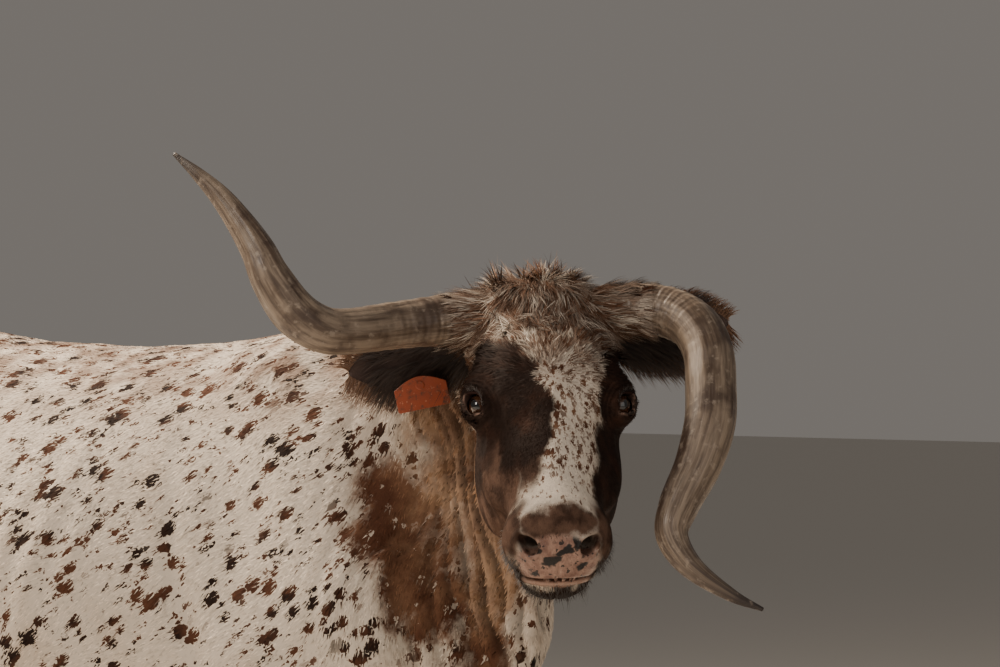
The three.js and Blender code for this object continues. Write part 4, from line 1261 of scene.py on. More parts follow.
def wished_edge(points: Array) -> Array:
    """Gives how long the skin's edges may be at each place.

    Args:
        points: places in mm.

    Returns:
        One length in mm per place.
    """
    local = in_head(points)
    target = np.full(len(points), EDGES.body)
    along = (points - NECK_START) @ NECK_WAY
    folded = (along < 150) & (points[:, 1] < -700) & (points[:, 2] > 640)
    target[folded] = EDGES.neck
    target[points[:, 2] < 520] = EDGES.legs
    on_head = (np.abs(local[:, 0]) < 160) & (local[:, 1] > -40) & (local[:, 1] < 600)
    target[on_head] = EDGES.head
    muzzle = on_head & (local[:, 1] > 408)
    target[muzzle] = EDGES.muzzle
    for socket in SOCKETS.values():
        distance = np.linalg.norm(points - socket.centre(), axis=1)
        target[distance < 46] = EDGES.eyes
    teats = (np.abs(points[:, 1] - 500) < 90) & (points[:, 2] < 650) & (points[:, 2] > 570)
    target[teats & (np.abs(points[:, 0]) < 70)] = EDGES.teats
    return target


def skin_surface() -> Surface:
    """Meshes the skin, finest round the eyes and muzzle.

    Returns:
        The skin.
    """
    measure = Body().field()
    points, faces = net_surface(sample_grid(measure))
    surface = Surface(points, faces, np.zeros_like(points))
    settle(surface, measure, 2, 0.5)
    for _ in range(3):
        surface = split_edges(surface, wished_edge(surface.points))
        settle(surface, measure, 1, 0.4)
    settle(surface, measure, 2, 0.0)
    surface.normals = unit(gradient(measure, surface.points))
    return surface


class Slot(Enum):
    """The record's material slots."""

    COAT = "coat"
    LONG_HAIR = "long_hair"
    HORN = "horn"
    HOOF = "hoof"
    EYE = "eye"
    BARE_SKIN = "bare_skin"
    TAG = "tag"


def frame_shift() -> Array:
    """Returns the step from the cow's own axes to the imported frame, in mm.

    Returns:
        The step as a vector.
    """
    low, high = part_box("hoof_fore_right_outer")
    foot = LEGS["fore_right"].joints()[-1].at
    inner = foot[0] - Hooves.cleft
    toe = foot[1] - Hooves.sole_ahead - Hooves.sole_length / 2
    return vec(high[0] / METRE - inner, low[1] / METRE - toe, low[2] / METRE)


def mesh_object(
    name: str,
    points: Array,
    faces: Array,
    material: bpy.types.Material,
    replaces: Sequence[str] = (),
) -> bpy.types.Object:
    """Makes an object that rides on the model, from arrays in mm.

    Args:
        name: the piece's name.
        points: vertices in the cow's axes, in mm.
        faces: three or four vertices a face.
        material: its finish.
        replaces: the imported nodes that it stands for.

    Returns:
        The object.
    """
    corners = faces.shape[1]
    mesh = bpy.data.meshes.new(name)
    mesh.vertices.add(len(points))
    mesh.vertices.foreach_set("co", ((points + SHIFT) * METRE).astype(np.float32).ravel())
    mesh.loops.add(faces.size)
    mesh.loops.foreach_set("vertex_index", faces.astype(np.int32).ravel())
    mesh.polygons.add(len(faces))
    mesh.polygons.foreach_set("loop_start", np.arange(0, faces.size, corners, dtype=np.int32))
    mesh.polygons.foreach_set("use_smooth", np.ones(len(faces), bool))
    mesh.update(calc_edges=True)
    mesh.materials.append(material)
    piece = bpy.data.objects.new(name, mesh)
    bpy.context.scene.collection.objects.link(piece)
    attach(piece, "root")
    if replaces:
        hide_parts(*replaces)
    LOG.info("%s: %d faces", name, len(faces))
    return piece


def add_attribute(piece: bpy.types.Object, name: str, values: Array) -> None:
    """Stores a number or a vector at each vertex of a piece.

    Args:
        piece: the object.
        name: what it is called.
        values: one number or vector per vertex.
    """
    kind, key = ("FLOAT_VECTOR", "vector") if values.ndim == 2 else ("FLOAT", "value")
    stored = piece.data.attributes.new(name, kind, "POINT")
    stored.data.foreach_set(key, values.astype(np.float32).ravel())


def tube_faces(rows: int, sides: int, middles: bool) -> Array:
    """Gives the triangles of a closed tube whose vertices are numbered ring by ring.

    Args:
        rows: how many rings it has.
        sides: how many vertices each ring has.
        middles: whether its ends close on two more vertices, numbered last.

    Returns:
        Three vertices a face.
    """
    index = np.arange(rows * sides).reshape(rows, sides)
    a, b = index[:-1], index[1:]
    quads = np.stack([a, np.roll(a, -1, 1), np.roll(b, -1, 1), b], axis=-1).reshape(-1, 4)
    faces = [quads[:, [0, 1, 2]], quads[:, [0, 2, 3]]]
    ends = (np.roll(index[0, ::-1], 1), index[-1])
    for number, ring in enumerate(ends):
        if middles:
            middle = np.full(sides, rows * sides + number)
            faces.append(np.stack([ring, np.roll(ring, -1), middle], axis=1))
        else:
            first = np.full(sides - 2, ring[0])
            faces.append(np.stack([first, ring[1:-1], ring[2:]], axis=1))
    return np.concatenate(faces)


class Wiring:
    """Adds nodes to a tree and links them."""

    def __init__(self, tree: bpy.types.NodeTree) -> None:
        """Keeps the tree."""
        self.tree = tree

    def add(self, kind: str, inputs: Mapping[Any, Any] | None = None, **settings: Any) -> Any:
        """Adds a node.

        Args:
            kind: the node's type.
            inputs: a value or a socket for each named or numbered input.
            **settings: the node's own settings.

        Returns:
            The node.
        """
        node = self.tree.nodes.new(kind)
        for key, value in settings.items():
            setattr(node, key, value)
        self.fill(node, inputs or {})
        return node

    def fill(self, node: Any, inputs: Mapping[Any, Any]) -> None:
        """Links a socket to, or sets a value on, each named or numbered input of a node."""
        for key, value in inputs.items():
            if isinstance(value, bpy.types.NodeSocket):
                self.tree.links.new(value, node.inputs[key])
            else:
                node.inputs[key].default_value = value

    def math(self, operation: str, a: Any, b: Any = 0.0, clamp: bool = False) -> Any:
        """Adds a sum of one or two values and returns its result."""
        node = self.add("ShaderNodeMath", {0: a, 1: b}, operation=operation, use_clamp=clamp)
        return node.outputs[0]

    def dot(self, a: Any, b: Any) -> Any:
        """Adds a dot product and returns it."""
        node = self.add("ShaderNodeVectorMath", {0: a, 1: b}, operation="DOT_PRODUCT")
        return node.outputs["Value"]

    def vector(self, operation: str, a: Any, b: Any) -> Any:
        """Adds a vector sum and returns its vector."""
        return self.add("ShaderNodeVectorMath", {0: a, 1: b}, operation=operation).outputs[0]

    def mix(self, factor: Any, a: Any, b: Any) -> Any:
        """Mixes two colours and returns the result."""
        node = self.add("ShaderNodeMix", {0: factor, 6: a, 7: b}, data_type="RGBA")
        return node.outputs[2]

    def spread(self, value: Any, low: float, high: float, to: tuple[float, float] = (0, 1)) -> Any:
        """Maps a value smoothly from low and high to two others.

        Args:
            value: what is mapped.
            low: where the map starts.
            high: where it ends.
            to: the results at those two.

        Returns:
            The mapped value's socket.
        """
        limits = {"Value": value, "From Min": low, "From Max": high}
        limits.update({"To Min": to[0], "To Max": to[1]})
        node = self.add("ShaderNodeMapRange", limits, interpolation_type="SMOOTHSTEP")
        return node.outputs[0]

    def noise(self, place: Any, scale: float, detail: float = 3.0, rough: float = 0.55) -> Any:
        """Adds noise and returns its value."""
        inputs = {"Vector": place, "Scale": scale, "Detail": detail, "Roughness": rough}
        return self.add("ShaderNodeTexNoise", inputs).outputs[0]

    def clouded(
        self, place: Any, scale: float, limits: tuple[float, float], a: Any, b: Any, detail: float = 4.0
    ) -> Any:
        """Mixes two colours in clouds, by noise between two limits."""
        return self.mix(self.spread(self.noise(place, scale, detail), *limits), a, b)

    def combine(self, x: Any, y: Any, z: Any) -> Any:
        """Puts three values together in a vector."""
        return self.add("ShaderNodeCombineXYZ", {0: x, 1: y, 2: z}).outputs[0]


def colour(red: float, green: float, blue: float) -> tuple[float, float, float, float]:
    """Returns an opaque colour."""
    return (red, green, blue, 1.0)


class ShaderGroup:
    """A node group with named sockets, placed in materials with their own values."""

    kinds = {"float": "NodeSocketFloat", "vector": "NodeSocketVector", "colour": "NodeSocketColor"}

    def __init__(self, name: str, takes: Mapping[str, str], gives: Mapping[str, str]) -> None:
        """Makes the group's sockets and its two end nodes.

        Args:
            name: what it is called.
            takes: the kind of each input.
            gives: the kind of each output.
        """
        self.tree = bpy.data.node_groups.new(name, "ShaderNodeTree")
        for way, sockets in (("INPUT", takes), ("OUTPUT", gives)):
            for label, kind in sockets.items():
                self.tree.interface.new_socket(
                    name=label, in_out=way, socket_type=self.kinds[kind]
                )
        self.wiring = Wiring(self.tree)
        self.takes = self.wiring.add("NodeGroupInput").outputs
        self.gives = self.wiring.add("NodeGroupOutput").inputs

    def put_out(self, label: str, value: Any) -> None:
        """Links a value to one of the group's outputs."""
        self.tree.links.new(value, self.gives[label])

    def place(self, wiring: Wiring, **inputs: Any) -> Any:
        """Places the group in a tree and returns its outputs."""
        named = {label.replace("_", " "): value for label, value in inputs.items()}
        return wiring.add("ShaderNodeGroup", named, node_tree=self.tree).outputs


def patch_group() -> ShaderGroup:
    """Makes the mask of one patch of colour: an ellipsoid with a soft edge.

    Returns:
        The group.
    """
    group = ShaderGroup(
        "Patch",
        {"Place": "vector", "Centre": "vector", "Radii": "vector", "Soft": "float"},
        {"Mask": "float"},
    )
    w = group.wiring
    offset = w.vector("SUBTRACT", group.takes["Place"], group.takes["Centre"])
    scaled = w.vector("DIVIDE", offset, group.takes["Radii"])
    length = w.add("ShaderNodeVectorMath", {0: scaled}, operation="LENGTH").outputs["Value"]
    outer = w.math("ADD", 1.0, group.takes["Soft"])
    inner = w.math("SUBTRACT", 1.0, group.takes["Soft"])
    node = w.add(
        "ShaderNodeMapRange",
        {"Value": length, "From Min": outer, "From Max": inner, "To Min": 0.0, "To Max": 1.0},
        interpolation_type="SMOOTHSTEP",
    )
    group.put_out("Mask", node.outputs[0])
    return group


def speckle_group() -> ShaderGroup:
    """Makes the mask of small spots that are drawn out along the hair.

    Returns:
        The group.
    """
    group = ShaderGroup(
        "Speckle",
        {"Place": "vector", "Scale": "float", "Share": "float", "Size": "float"},
        {"Mask": "float"},
    )
    w = group.wiring
    wobble = w.add("ShaderNodeTexNoise", {"Vector": group.takes["Place"], "Scale": 160.0})
    ragged = w.vector("SUBTRACT", wobble.outputs["Color"], (0.5, 0.5, 0.5))
    ragged = w.vector("MULTIPLY", ragged, (0.011, 0.011, 0.011))
    place = w.vector("ADD", group.takes["Place"], ragged)
    cells = w.add("ShaderNodeTexVoronoi", {"Vector": place, "Scale": group.takes["Scale"]})
    chance = w.add("ShaderNodeSeparateColor", {0: cells.outputs["Color"]})
    present = w.math("SUBTRACT", group.takes["Share"], chance.outputs[0])
    present = w.spread(present, 0.0, 0.12)
    radius = w.math("MULTIPLY", chance.outputs[1], group.takes["Size"])
    radius = w.math("ADD", radius, 0.16)
    depth = w.math("SUBTRACT", radius, cells.outputs["Distance"])
    mask = w.math("MULTIPLY", w.spread(depth, -0.02, 0.03), present)
    group.put_out("Mask", mask)
    return group


@dataclass(frozen=True)
class Patch:
    """A patch of colour on one side or both: its middle, radii and softness, in mm."""

    centre: tuple[float, float, float]
    radii: tuple[float, float, float]
    soft: float = 0.25


@dataclass(frozen=True)
class Speckles:
    """Small spots: how many cells a metre holds, and how far a spot fills its cell."""

    scale: float
    size: float


@dataclass(frozen=True)
class Markings:
    """The cow's colours: a speckled pale coat with dark patches on the head and neck, and painted light
    on the neck pleats.
    """

    pale: tuple[float, ...] = colour(0.66, 0.565, 0.465)
    shaded: tuple[float, ...] = colour(0.46, 0.35, 0.26)
    spot: tuple[float, ...] = colour(0.092, 0.038, 0.021)
    dark: tuple[float, ...] = colour(0.020, 0.011, 0.008)
    tan: tuple[float, ...] = colour(0.175, 0.088, 0.050)
    cheek: tuple[float, ...] = colour(0.125, 0.070, 0.047)
    lit_tan: tuple[float, ...] = colour(0.38, 0.225, 0.13)
    black: tuple[float, ...] = colour(0.012, 0.008, 0.006)
    crown_brown: tuple[float, ...] = colour(0.15, 0.072, 0.040)
    cheek_shade: tuple[float, ...] = colour(0.050, 0.027, 0.018)
    large_spots: Speckles = Speckles(38.0, 0.31)
    fine_spots: Speckles = Speckles(84.0, 0.32)
    neck_ticks: Speckles = Speckles(100.0, 0.36)
    face_dots: Speckles = Speckles(104.0, 0.36)
    face_flecks: Speckles = Speckles(170.0, 0.42)
    pad_freckles: Speckles = Speckles(135.0, 0.32)
    head_region: Patch = Patch((0, 225, -120), (180, 325, 190), 0.06)
    lie: tuple[float, float, float] = (0.0, 0.58, -0.44)
    over_lie: tuple[float, float, float] = (0.0, 0.6, 0.8)
    flesh: tuple[float, ...] = colour(0.36, 0.215, 0.155)
    worn_flesh: tuple[float, ...] = colour(0.20, 0.10, 0.07)
    dark_face: tuple[Patch, ...] = (
        Patch((-66, 204, -45), (62, 78, 74), 0.13),
        Patch((-92, 158, -60), (38, 52, 62), 0.15),
        Patch((-44, 268, -30), (44, 84, 64), 0.13),
        Patch((-104, 205, -110), (38, 100, 84), 0.2),
        Patch((99, 212, -72), (40, 120, 100), 0.13),
        Patch((84, 330, -114), (42, 136, 98), 0.15),
        Patch((-54, 470, -128), (17, 40, 24), 0.3),
        Patch((54, 470, -128), (17, 40, 24), 0.3),
        Patch((0, 468, -168), (70, 52, 21), 0.22),
    )
    brown_face: tuple[Patch, ...] = (
        Patch((-92, 300, -140), (54, 150, 100), 0.25),
        Patch((-64, 352, -92), (30, 70, 50), 0.35),
        Patch((68, 400, -120), (26, 70, 56), 0.3),
        Patch((0, 462, -52), (66, 26, 24), 0.28),
        Patch((-40, 348, -40), (17, 50, 40), 0.45),
        Patch((-62, 446, -84), (22, 44, 44), 0.35),
        Patch((62, 446, -84), (22, 44, 44), 0.35),
        Patch((0, 180, -240), (90, 170, 70), 0.4),
    )
    udder: Patch = Patch((0, 500, 650), (104, 146, 92), 0.14)
    nose_pad: Patch = Patch((0, 492, -94), (57, 28, 42), 0.12)
    pad_spots: tuple[Patch, ...] = (
        Patch((-12, 500, -86), (15, 30, 7), 0.2),
        Patch((4, 500, -76), (14, 30, 7), 0.2),
        Patch((30, 494, -100), (6, 30, 6), 0.25),
        Patch((-34, 492, -108), (8, 30, 5), 0.25),
        Patch((-30, 494, -66), (6, 30, 6), 0.3),
        Patch((20, 490, -64), (8, 30, 5), 0.3),
    )
    lip: Patch = Patch((0, 484, -137), (47, 40, 12), 0.2)
    neck_patches: tuple[Patch, ...] = (
        Patch((-160, -712, 1016), (60, 62, 92), 0.3),
        Patch((-146, -768, 884), (66, 58, 52), 0.3),
        Patch((-150, -740, 950), (34, 50, 60), 0.35),
        Patch((-80, -820, 780), (50, 60, 90), 0.35),
        Patch((70, -800, 1050), (80, 90, 150), 0.3),
    )
    # Where the neck pleats get their real tan mixed with a lit tan, which is painted light.
    pleats: tuple[Patch, ...] = (
        Patch((-128, -800, 1090), (48, 66, 170), 0.35),
        Patch((-104, -850, 960), (54, 58, 150), 0.35),
    )

    def group(self) -> ShaderGroup:
        """Makes the group that gives the coat's colour and masks at a root's place.

        Returns:
            The group.
        """
        patch, speckle = patch_group(), speckle_group()
        group = ShaderGroup(
            "Markings",
            {"Root": "vector", "Shade": "float"},
            {"Colour": "colour", "Pad": "float", "Bare": "float", "Dark": "float"},
        )
        w = group.wiring
        root = group.takes["Root"]
        own = w.vector("SUBTRACT", root, tuple(SHIFT * METRE))

        def bent(scale: float, detail: float, roughness: float, reach: float) -> Any:
            """Returns the place pushed about by noise, which makes ragged edges.

            Args:
                scale: how fine the noise is.
                detail: how many finer layers it has.
                roughness: how strong those are.
                reach: how far it pushes, in metres.

            Returns:
                The moved place's socket.
            """
            kind = {"Vector": own, "Scale": scale, "Detail": detail, "Roughness": roughness}
            cloud = w.add("ShaderNodeTexNoise", kind).outputs["Color"]
            away = w.vector("SUBTRACT", cloud, (0.5, 0.5, 0.5))
            return w.vector("ADD", own, w.vector("MULTIPLY", away, (reach, reach, reach)))

        def from_poll(place: Any) -> Any:
            """Returns a place in the head's axes."""
            away = w.vector("SUBTRACT", place, tuple(POLL * METRE))
            return w.combine(*(w.dot(away, tuple(axis)) for axis in (ACROSS, ALONG, OUT)))

        def mask(place: Any, spec: Patch) -> Any:
            """Places one patch and returns its mask."""
            return patch.place(
                w,
                Place=place,
                Centre=tuple(value * METRE for value in spec.centre),
                Radii=tuple(value * METRE for value in spec.radii),
                Soft=spec.soft,
            )["Mask"]

        def any_of(place: Any, specs: Sequence[Patch]) -> Any:
            """Returns the strongest of several patches.

            Args:
                place: a place, as a socket.
                specs: the patches.

            Returns:
                The mask's socket.
            """
            masks = [mask(place, spec) for spec in specs]
            total = masks[0]
            for other in masks[1:]:
                total = w.math("MAXIMUM", total, other)
            return total

        def speckled(spec: Speckles, place: Any, share: Any) -> Any:
            """Places small spots and returns their mask."""
            return speckle.place(w, Place=place, Scale=spec.scale, Share=share, Size=spec.size)["Mask"]

        head = from_poll(bent(26.0, 4.0, 0.5, 0.05))
        torn_place = bent(13.0, 6.0, 0.65, 0.15)
        plain = from_poll(own)
        across = w.dot(own, (1.0, 0.0, 0.0))
        drawn = w.combine(across, w.dot(own, self.over_lie), w.dot(own, self.lie))
        height = w.dot(own, (0.0, 0.0, 1.0))
        ahead = w.dot(own, (0.0, 1.0, 0.0))
        region = w.noise(own, 3.1, 2.0)
        forward = w.spread(ahead, -0.25, -0.75)
        topline = w.spread(height, 1.08, 1.23)
        share = w.math("ADD", w.math("MULTIPLY", region, 0.6), 0.42)
        share = w.math("ADD", share, w.math("MULTIPLY", forward, 0.16))
        share = w.math("ADD", share, w.math("MULTIPLY", topline, 0.3))
        large = speckled(self.large_spots, drawn, share)
        fine = speckled(self.fine_spots, drawn, w.math("MULTIPLY", share, 0.75))
        spots = w.math("MAXIMUM", large, fine)
        tone = w.noise(own, 7.0, 5.0, 0.6)
        ground = w.mix(w.spread(tone, 0.5, 0.8, (0, 0.7)), self.pale, self.shaded)
        reddened = w.math("MULTIPLY", topline, w.spread(w.noise(drawn, 24.0, 4.0), 0.35, 0.62))
        ground = w.mix(w.math("MULTIPLY", reddened, 0.75), ground, self.tan)
        spot_tone = w.clouded(own, 17.0, (0.4, 0.6), self.spot, self.dark, 3.0)
        coat = w.mix(spots, ground, spot_tone)
        on_head = mask(plain, self.head_region)
        neck = any_of(torn_place, self.neck_patches)
        ticks = speckled(self.neck_ticks, own, 0.2)
        neck_tone = w.clouded(own, 22.0, (0.38, 0.66), self.spot, self.tan)
        neck_tone = w.mix(w.math("MULTIPLY", ticks, 0.75), neck_tone, self.pale)
        coat = w.mix(neck, coat, neck_tone)
        # The pleats' real tan is mixed in clouds with a lighter tan, a painted highlight that stands
        # for sun on the pleat crests.
        pleated = any_of(torn_place, self.pleats)
        pleat_tone_with_painted_light = w.clouded(own, 16.0, (0.36, 0.64), self.tan, self.lit_tan)
        coat = w.mix(w.math("MULTIPLY", pleated, 0.9), coat, pleat_tone_with_painted_light)
        head_along = w.dot(plain, (0.0, 1.0, 0.0))
        hair_way = w.vector("MULTIPLY", plain, (1.0, 0.62, 1.0))
        dotted = w.spread(head_along, 0.43, 0.35, (0.34, 1.05))
        dots = speckled(self.face_dots, hair_way, dotted)
        flecks = speckled(self.face_flecks, hair_way, dotted)
        dots = w.math("MAXIMUM", dots, w.math("MULTIPLY", flecks, 0.8))
        face = w.mix(dots, self.pale, w.clouded(own, 40.0, (0.4, 0.65), self.spot, self.tan, 3.0))
        woolly = w.spread(w.noise(hair_way, 58.0, 4.0, 0.65), 0.39, 0.56)
        crown = w.math("MULTIPLY", woolly, w.spread(head_along, 0.25, 0.13))
        face = w.mix(w.math("MULTIPLY", crown, 0.9), face, self.crown_brown)
        brown_tone = w.clouded(own, 34.0, (0.36, 0.64), self.cheek_shade, self.cheek)
        face = w.mix(any_of(head, self.brown_face), face, brown_tone)
        dark_face = any_of(head, self.dark_face)
        brown = w.mix(w.spread(w.noise(own, 30.0, 4.0), 0.42, 0.8, (0, 0.4)), self.dark, self.spot)
        face = w.mix(dark_face, face, brown)
        coat = w.mix(on_head, coat, face)
        pad = mask(plain, self.nose_pad)
        pad_spots = any_of(head, self.pad_spots)
        pad_tone = w.clouded(own, 75.0, (0.35, 0.68), self.flesh, self.worn_flesh)
        freckles = w.math("MULTIPLY", speckled(self.pad_freckles, own, 0.62), 0.9)
        pad_tone = w.mix(w.math("MAXIMUM", pad_spots, freckles), pad_tone, self.black)
        coat = w.mix(pad, coat, pad_tone)
        lip = w.math("MULTIPLY", mask(plain, self.lip), w.spread(w.noise(own, 60.0), 0.32, 0.42))
        coat = w.mix(lip, coat, self.flesh)
        udder = mask(own, self.udder)
        coat = w.mix(udder, coat, w.mix(w.noise(own, 30.0), self.flesh, self.shaded))
        feet = w.spread(height, 0.42, 0.16)
        coat = w.mix(w.math("MULTIPLY", feet, 0.75), coat, brown)
        # The shade varies at random; in the grooves between the neck pleats it also carries painted
        # shade.
        lightness = w.math("MULTIPLY", group.takes["Shade"], 0.55)
        lightness = w.math("ADD", lightness, 0.72)
        shaded = w.add("ShaderNodeHueSaturation", {"Value": lightness, "Color": coat})
        group.put_out("Colour", shaded.outputs[0])
        group.put_out("Pad", w.math("MAXIMUM", pad, lip))
        group.put_out("Bare", udder)
        group.put_out("Dark", dark_face)
        return group


class Finishes:
    """Every material, made once."""

    def __init__(self) -> None:
        """Makes the shared groups and the materials."""
        self.markings = Markings().group()
        self.streaks = self.streak_group()
        self.coat = self.coat_finish("short_coat", 0.8, 0.86, 0.22)
        self.skin = self.skin_finish()
        self.crown = self.coat_finish("crown_hair", 0.75, 0.64, 0.26)
        self.switch = self.plain_hair("switch_hair", (0.30, 0.20, 0.13), (0.07, 0.03, 0.018))
        self.ear_hair = self.plain_hair("ear_hair", (0.05, 0.026, 0.016), (0.016, 0.01, 0.008))
        self.rim_hair = self.plain_hair("ear_rim_hair", (0.22, 0.115, 0.06), (0.08, 0.035, 0.02))
        self.whisker = self.plain_hair("whisker", (0.045, 0.03, 0.022), (0.02, 0.014, 0.01))
        self.ear = self.ear_finish()
        self.horn = self.horn_finish()
        self.hoof = self.hoof_finish()
        self.eye = self.eye_finish()
        self.tag = self.tag_finish()

    def start(self, name: str) -> tuple[bpy.types.Material, Wiring, Any]:
        """Makes an empty material with its shader.

        Args:
            name: what it is called.

        Returns:
            The material, its wiring and its shader.
        """
        material = bpy.data.materials.new(name)
        material.use_nodes = True
        material.node_tree.nodes.clear()
        w = Wiring(material.node_tree)
        shader = w.add("ShaderNodeBsdfPrincipled")
        w.add("ShaderNodeOutputMaterial", {0: shader.outputs[0]})
        return material, w, shader

    def connect(self, w: Wiring, shader: Any, **inputs: Any) -> None:
        """Links or sets inputs of a shader; underscores stand for spaces."""
        w.fill(shader, {label.replace("_", " "): value for label, value in inputs.items()})

    def attribute(self, w: Wiring, name: str, output: str) -> Any:
        """Reads a stored value of the mesh."""
        return w.add("ShaderNodeAttribute", attribute_name=name).outputs[output]

    def bump(self, w: Wiring, height: Any, distance: float, strength: float = 1.0) -> Any:
        """Turns a height in parts of a distance in metres into a normal."""
        inputs = {"Height": height, "Distance": distance, "Strength": strength}
        return w.add("ShaderNodeBump", inputs).outputs[0]

    def streak_group(self) -> ShaderGroup:
        """Makes fine streaks that run lengthways, for horn and hooves.

        Returns:
            The group.
        """
        group = ShaderGroup(
            "Streaks",
            {"Round": "vector", "Lengthways": "float", "Fineness": "float"},
            {"Height": "float", "Tone": "float"},
        )
        w = group.wiring
        slow = w.math("MULTIPLY", group.takes["Lengthways"], 2.2)
        parts = w.add("ShaderNodeSeparateXYZ", {0: group.takes["Round"]}).outputs
        place = w.combine(parts[0], parts[1], slow)
        fineness = group.takes["Fineness"]
        kind = {"Vector": place, "Scale": fineness, "Detail": 4.0}
        fine = w.add("ShaderNodeTexNoise", kind).outputs[0]
        broad = w.math("MULTIPLY", w.noise(place, 2.3, 3.0), 0.55)
        group.put_out("Height", fine)
        group.put_out("Tone", w.math("ADD", w.math("MULTIPLY", fine, 0.45), broad))
        return group

    def coat_finish(
        self, name: str, roughness: float, root_light: float, tip_light: float
    ) -> bpy.types.Material:
        """Makes the finish of tufts, coloured by where each is rooted.

        Args:
            name: what it is called.
            roughness: the hair's roughness.
            root_light: how light the roots are.
            tip_light: how much lighter the tips are.

        Returns:
            The material.
        """
        material, w, shader = self.start(name)
        marks = self.markings.place(
            w, Root=self.attribute(w, "root", "Vector"), Shade=self.attribute(w, "shade", "Fac")
        )
        tip = self.attribute(w, "tip", "Fac")
        lighter = w.math("ADD", root_light, w.math("MULTIPLY", tip, tip_light))
        toned = w.add("ShaderNodeHueSaturation", {"Value": lighter, "Color": marks["Colour"]})
        self.connect(w, shader, Base_Color=toned.outputs[0], Roughness=roughness)
        self.connect(w, shader, Specular_IOR_Level=0.05)
        return material

    def skin_finish(self) -> bpy.types.Material:
        """Makes the skin's finish: the markings, painted shade deep in the openings, fine fur bump and
        wet bare places.

        Returns:
            The material.
        """
        material, w, shader = self.start("speckled_skin")
        place = w.add("ShaderNodeNewGeometry").outputs["Position"]
        marks = self.markings.place(w, Root=place, Shade=self.attribute(w, "shade", "Fac"))
        # Painted shade: near black deep in the nostrils, mouth and eye openings.
        inside = self.attribute(w, "inside", "Fac")
        base = w.mix(inside, marks["Colour"], colour(0.03, 0.014, 0.011))
        rim = self.attribute(w, "rim", "Fac")
        base = w.mix(w.math("MULTIPLY", rim, 0.85), base, colour(0.33, 0.21, 0.16))
        bare = w.math("MAXIMUM", marks["Pad"], marks["Bare"])
        strands = w.combine(
            w.dot(place, (420.0, 0.0, 0.0)),
            w.dot(place, (0.0, 250.0, 330.0)),
            w.dot(place, (0.0, 56.0, -42.0)),
        )
        fur = w.noise(strands, 1.0, 2.0)
        pores = w.add("ShaderNodeTexVoronoi", {"Vector": place, "Scale": 330.0})
        height = w.add("ShaderNodeMix", {0: bare, 2: fur, 3: pores.outputs["Distance"]})
        wet = w.spread(w.noise(place, 140.0), 0.3, 0.7, (0.24, 0.42))
        rough = w.add("ShaderNodeMix", {0: marks["Pad"], 2: 0.85, 3: wet})
        normal = self.bump(w, height.outputs[0], 0.0011, 0.8)
        self.connect(w, shader, Base_Color=base, Roughness=rough.outputs[0], Normal=normal)
        gloss = w.math("MULTIPLY", marks["Pad"], 0.55)
        self.connect(w, shader, Specular_IOR_Level=0.1, Coat_Weight=gloss, Coat_Roughness=0.32)
        return material

    def plain_hair(
        self, name: str, light: tuple[float, float, float], dark: tuple[float, float, float]
    ) -> bpy.types.Material:
        """Makes the finish of long hair between a light and a dark tone.

        Args:
            name: what it is called.
            light: the lightest tone.
            dark: the darkest tone.

        Returns:
            The material.
        """
        material, w, shader = self.start(name)
        shade = self.attribute(w, "shade", "Fac")
        tip = self.attribute(w, "tip", "Fac")
        root = self.attribute(w, "root", "Vector")
        cloud = w.math("MULTIPLY", w.noise(root, 60.0), 0.3)
        amount = w.math("ADD", w.math("MULTIPLY", shade, 0.75), cloud)
        lit = w.math("SUBTRACT", amount, w.math("MULTIPLY", tip, -0.12), clamp=True)
        tone = w.mix(lit, colour(*dark), colour(*light))
        self.connect(w, shader, Base_Color=tone, Roughness=0.5)
        self.connect(w, shader, Sheen_Weight=0.15, Specular_IOR_Level=0.4)
        return material

    def ear_finish(self) -> bpy.types.Material:
        """Makes the ears' finish: short brown fur outside, bare dark skin in the cup.

        Returns:
            The material.
        """
        material, w, shader = self.start("ear_skin")
        cup = self.attribute(w, "cup", "Fac")
        place = w.add("ShaderNodeNewGeometry").outputs["Position"]
        fur = w.mix(w.noise(place, 60.0), colour(0.16, 0.075, 0.038), colour(0.055, 0.025, 0.015))
        inner = w.mix(w.noise(place, 45.0), colour(0.030, 0.017, 0.013), colour(0.075, 0.04, 0.03))
        base = w.mix(cup, fur, inner)
        normal = self.bump(w, w.noise(place, 420.0, 3.0), 0.0008, 0.7)
        self.connect(w, shader, Base_Color=base, Roughness=0.62, Normal=normal)
        return material

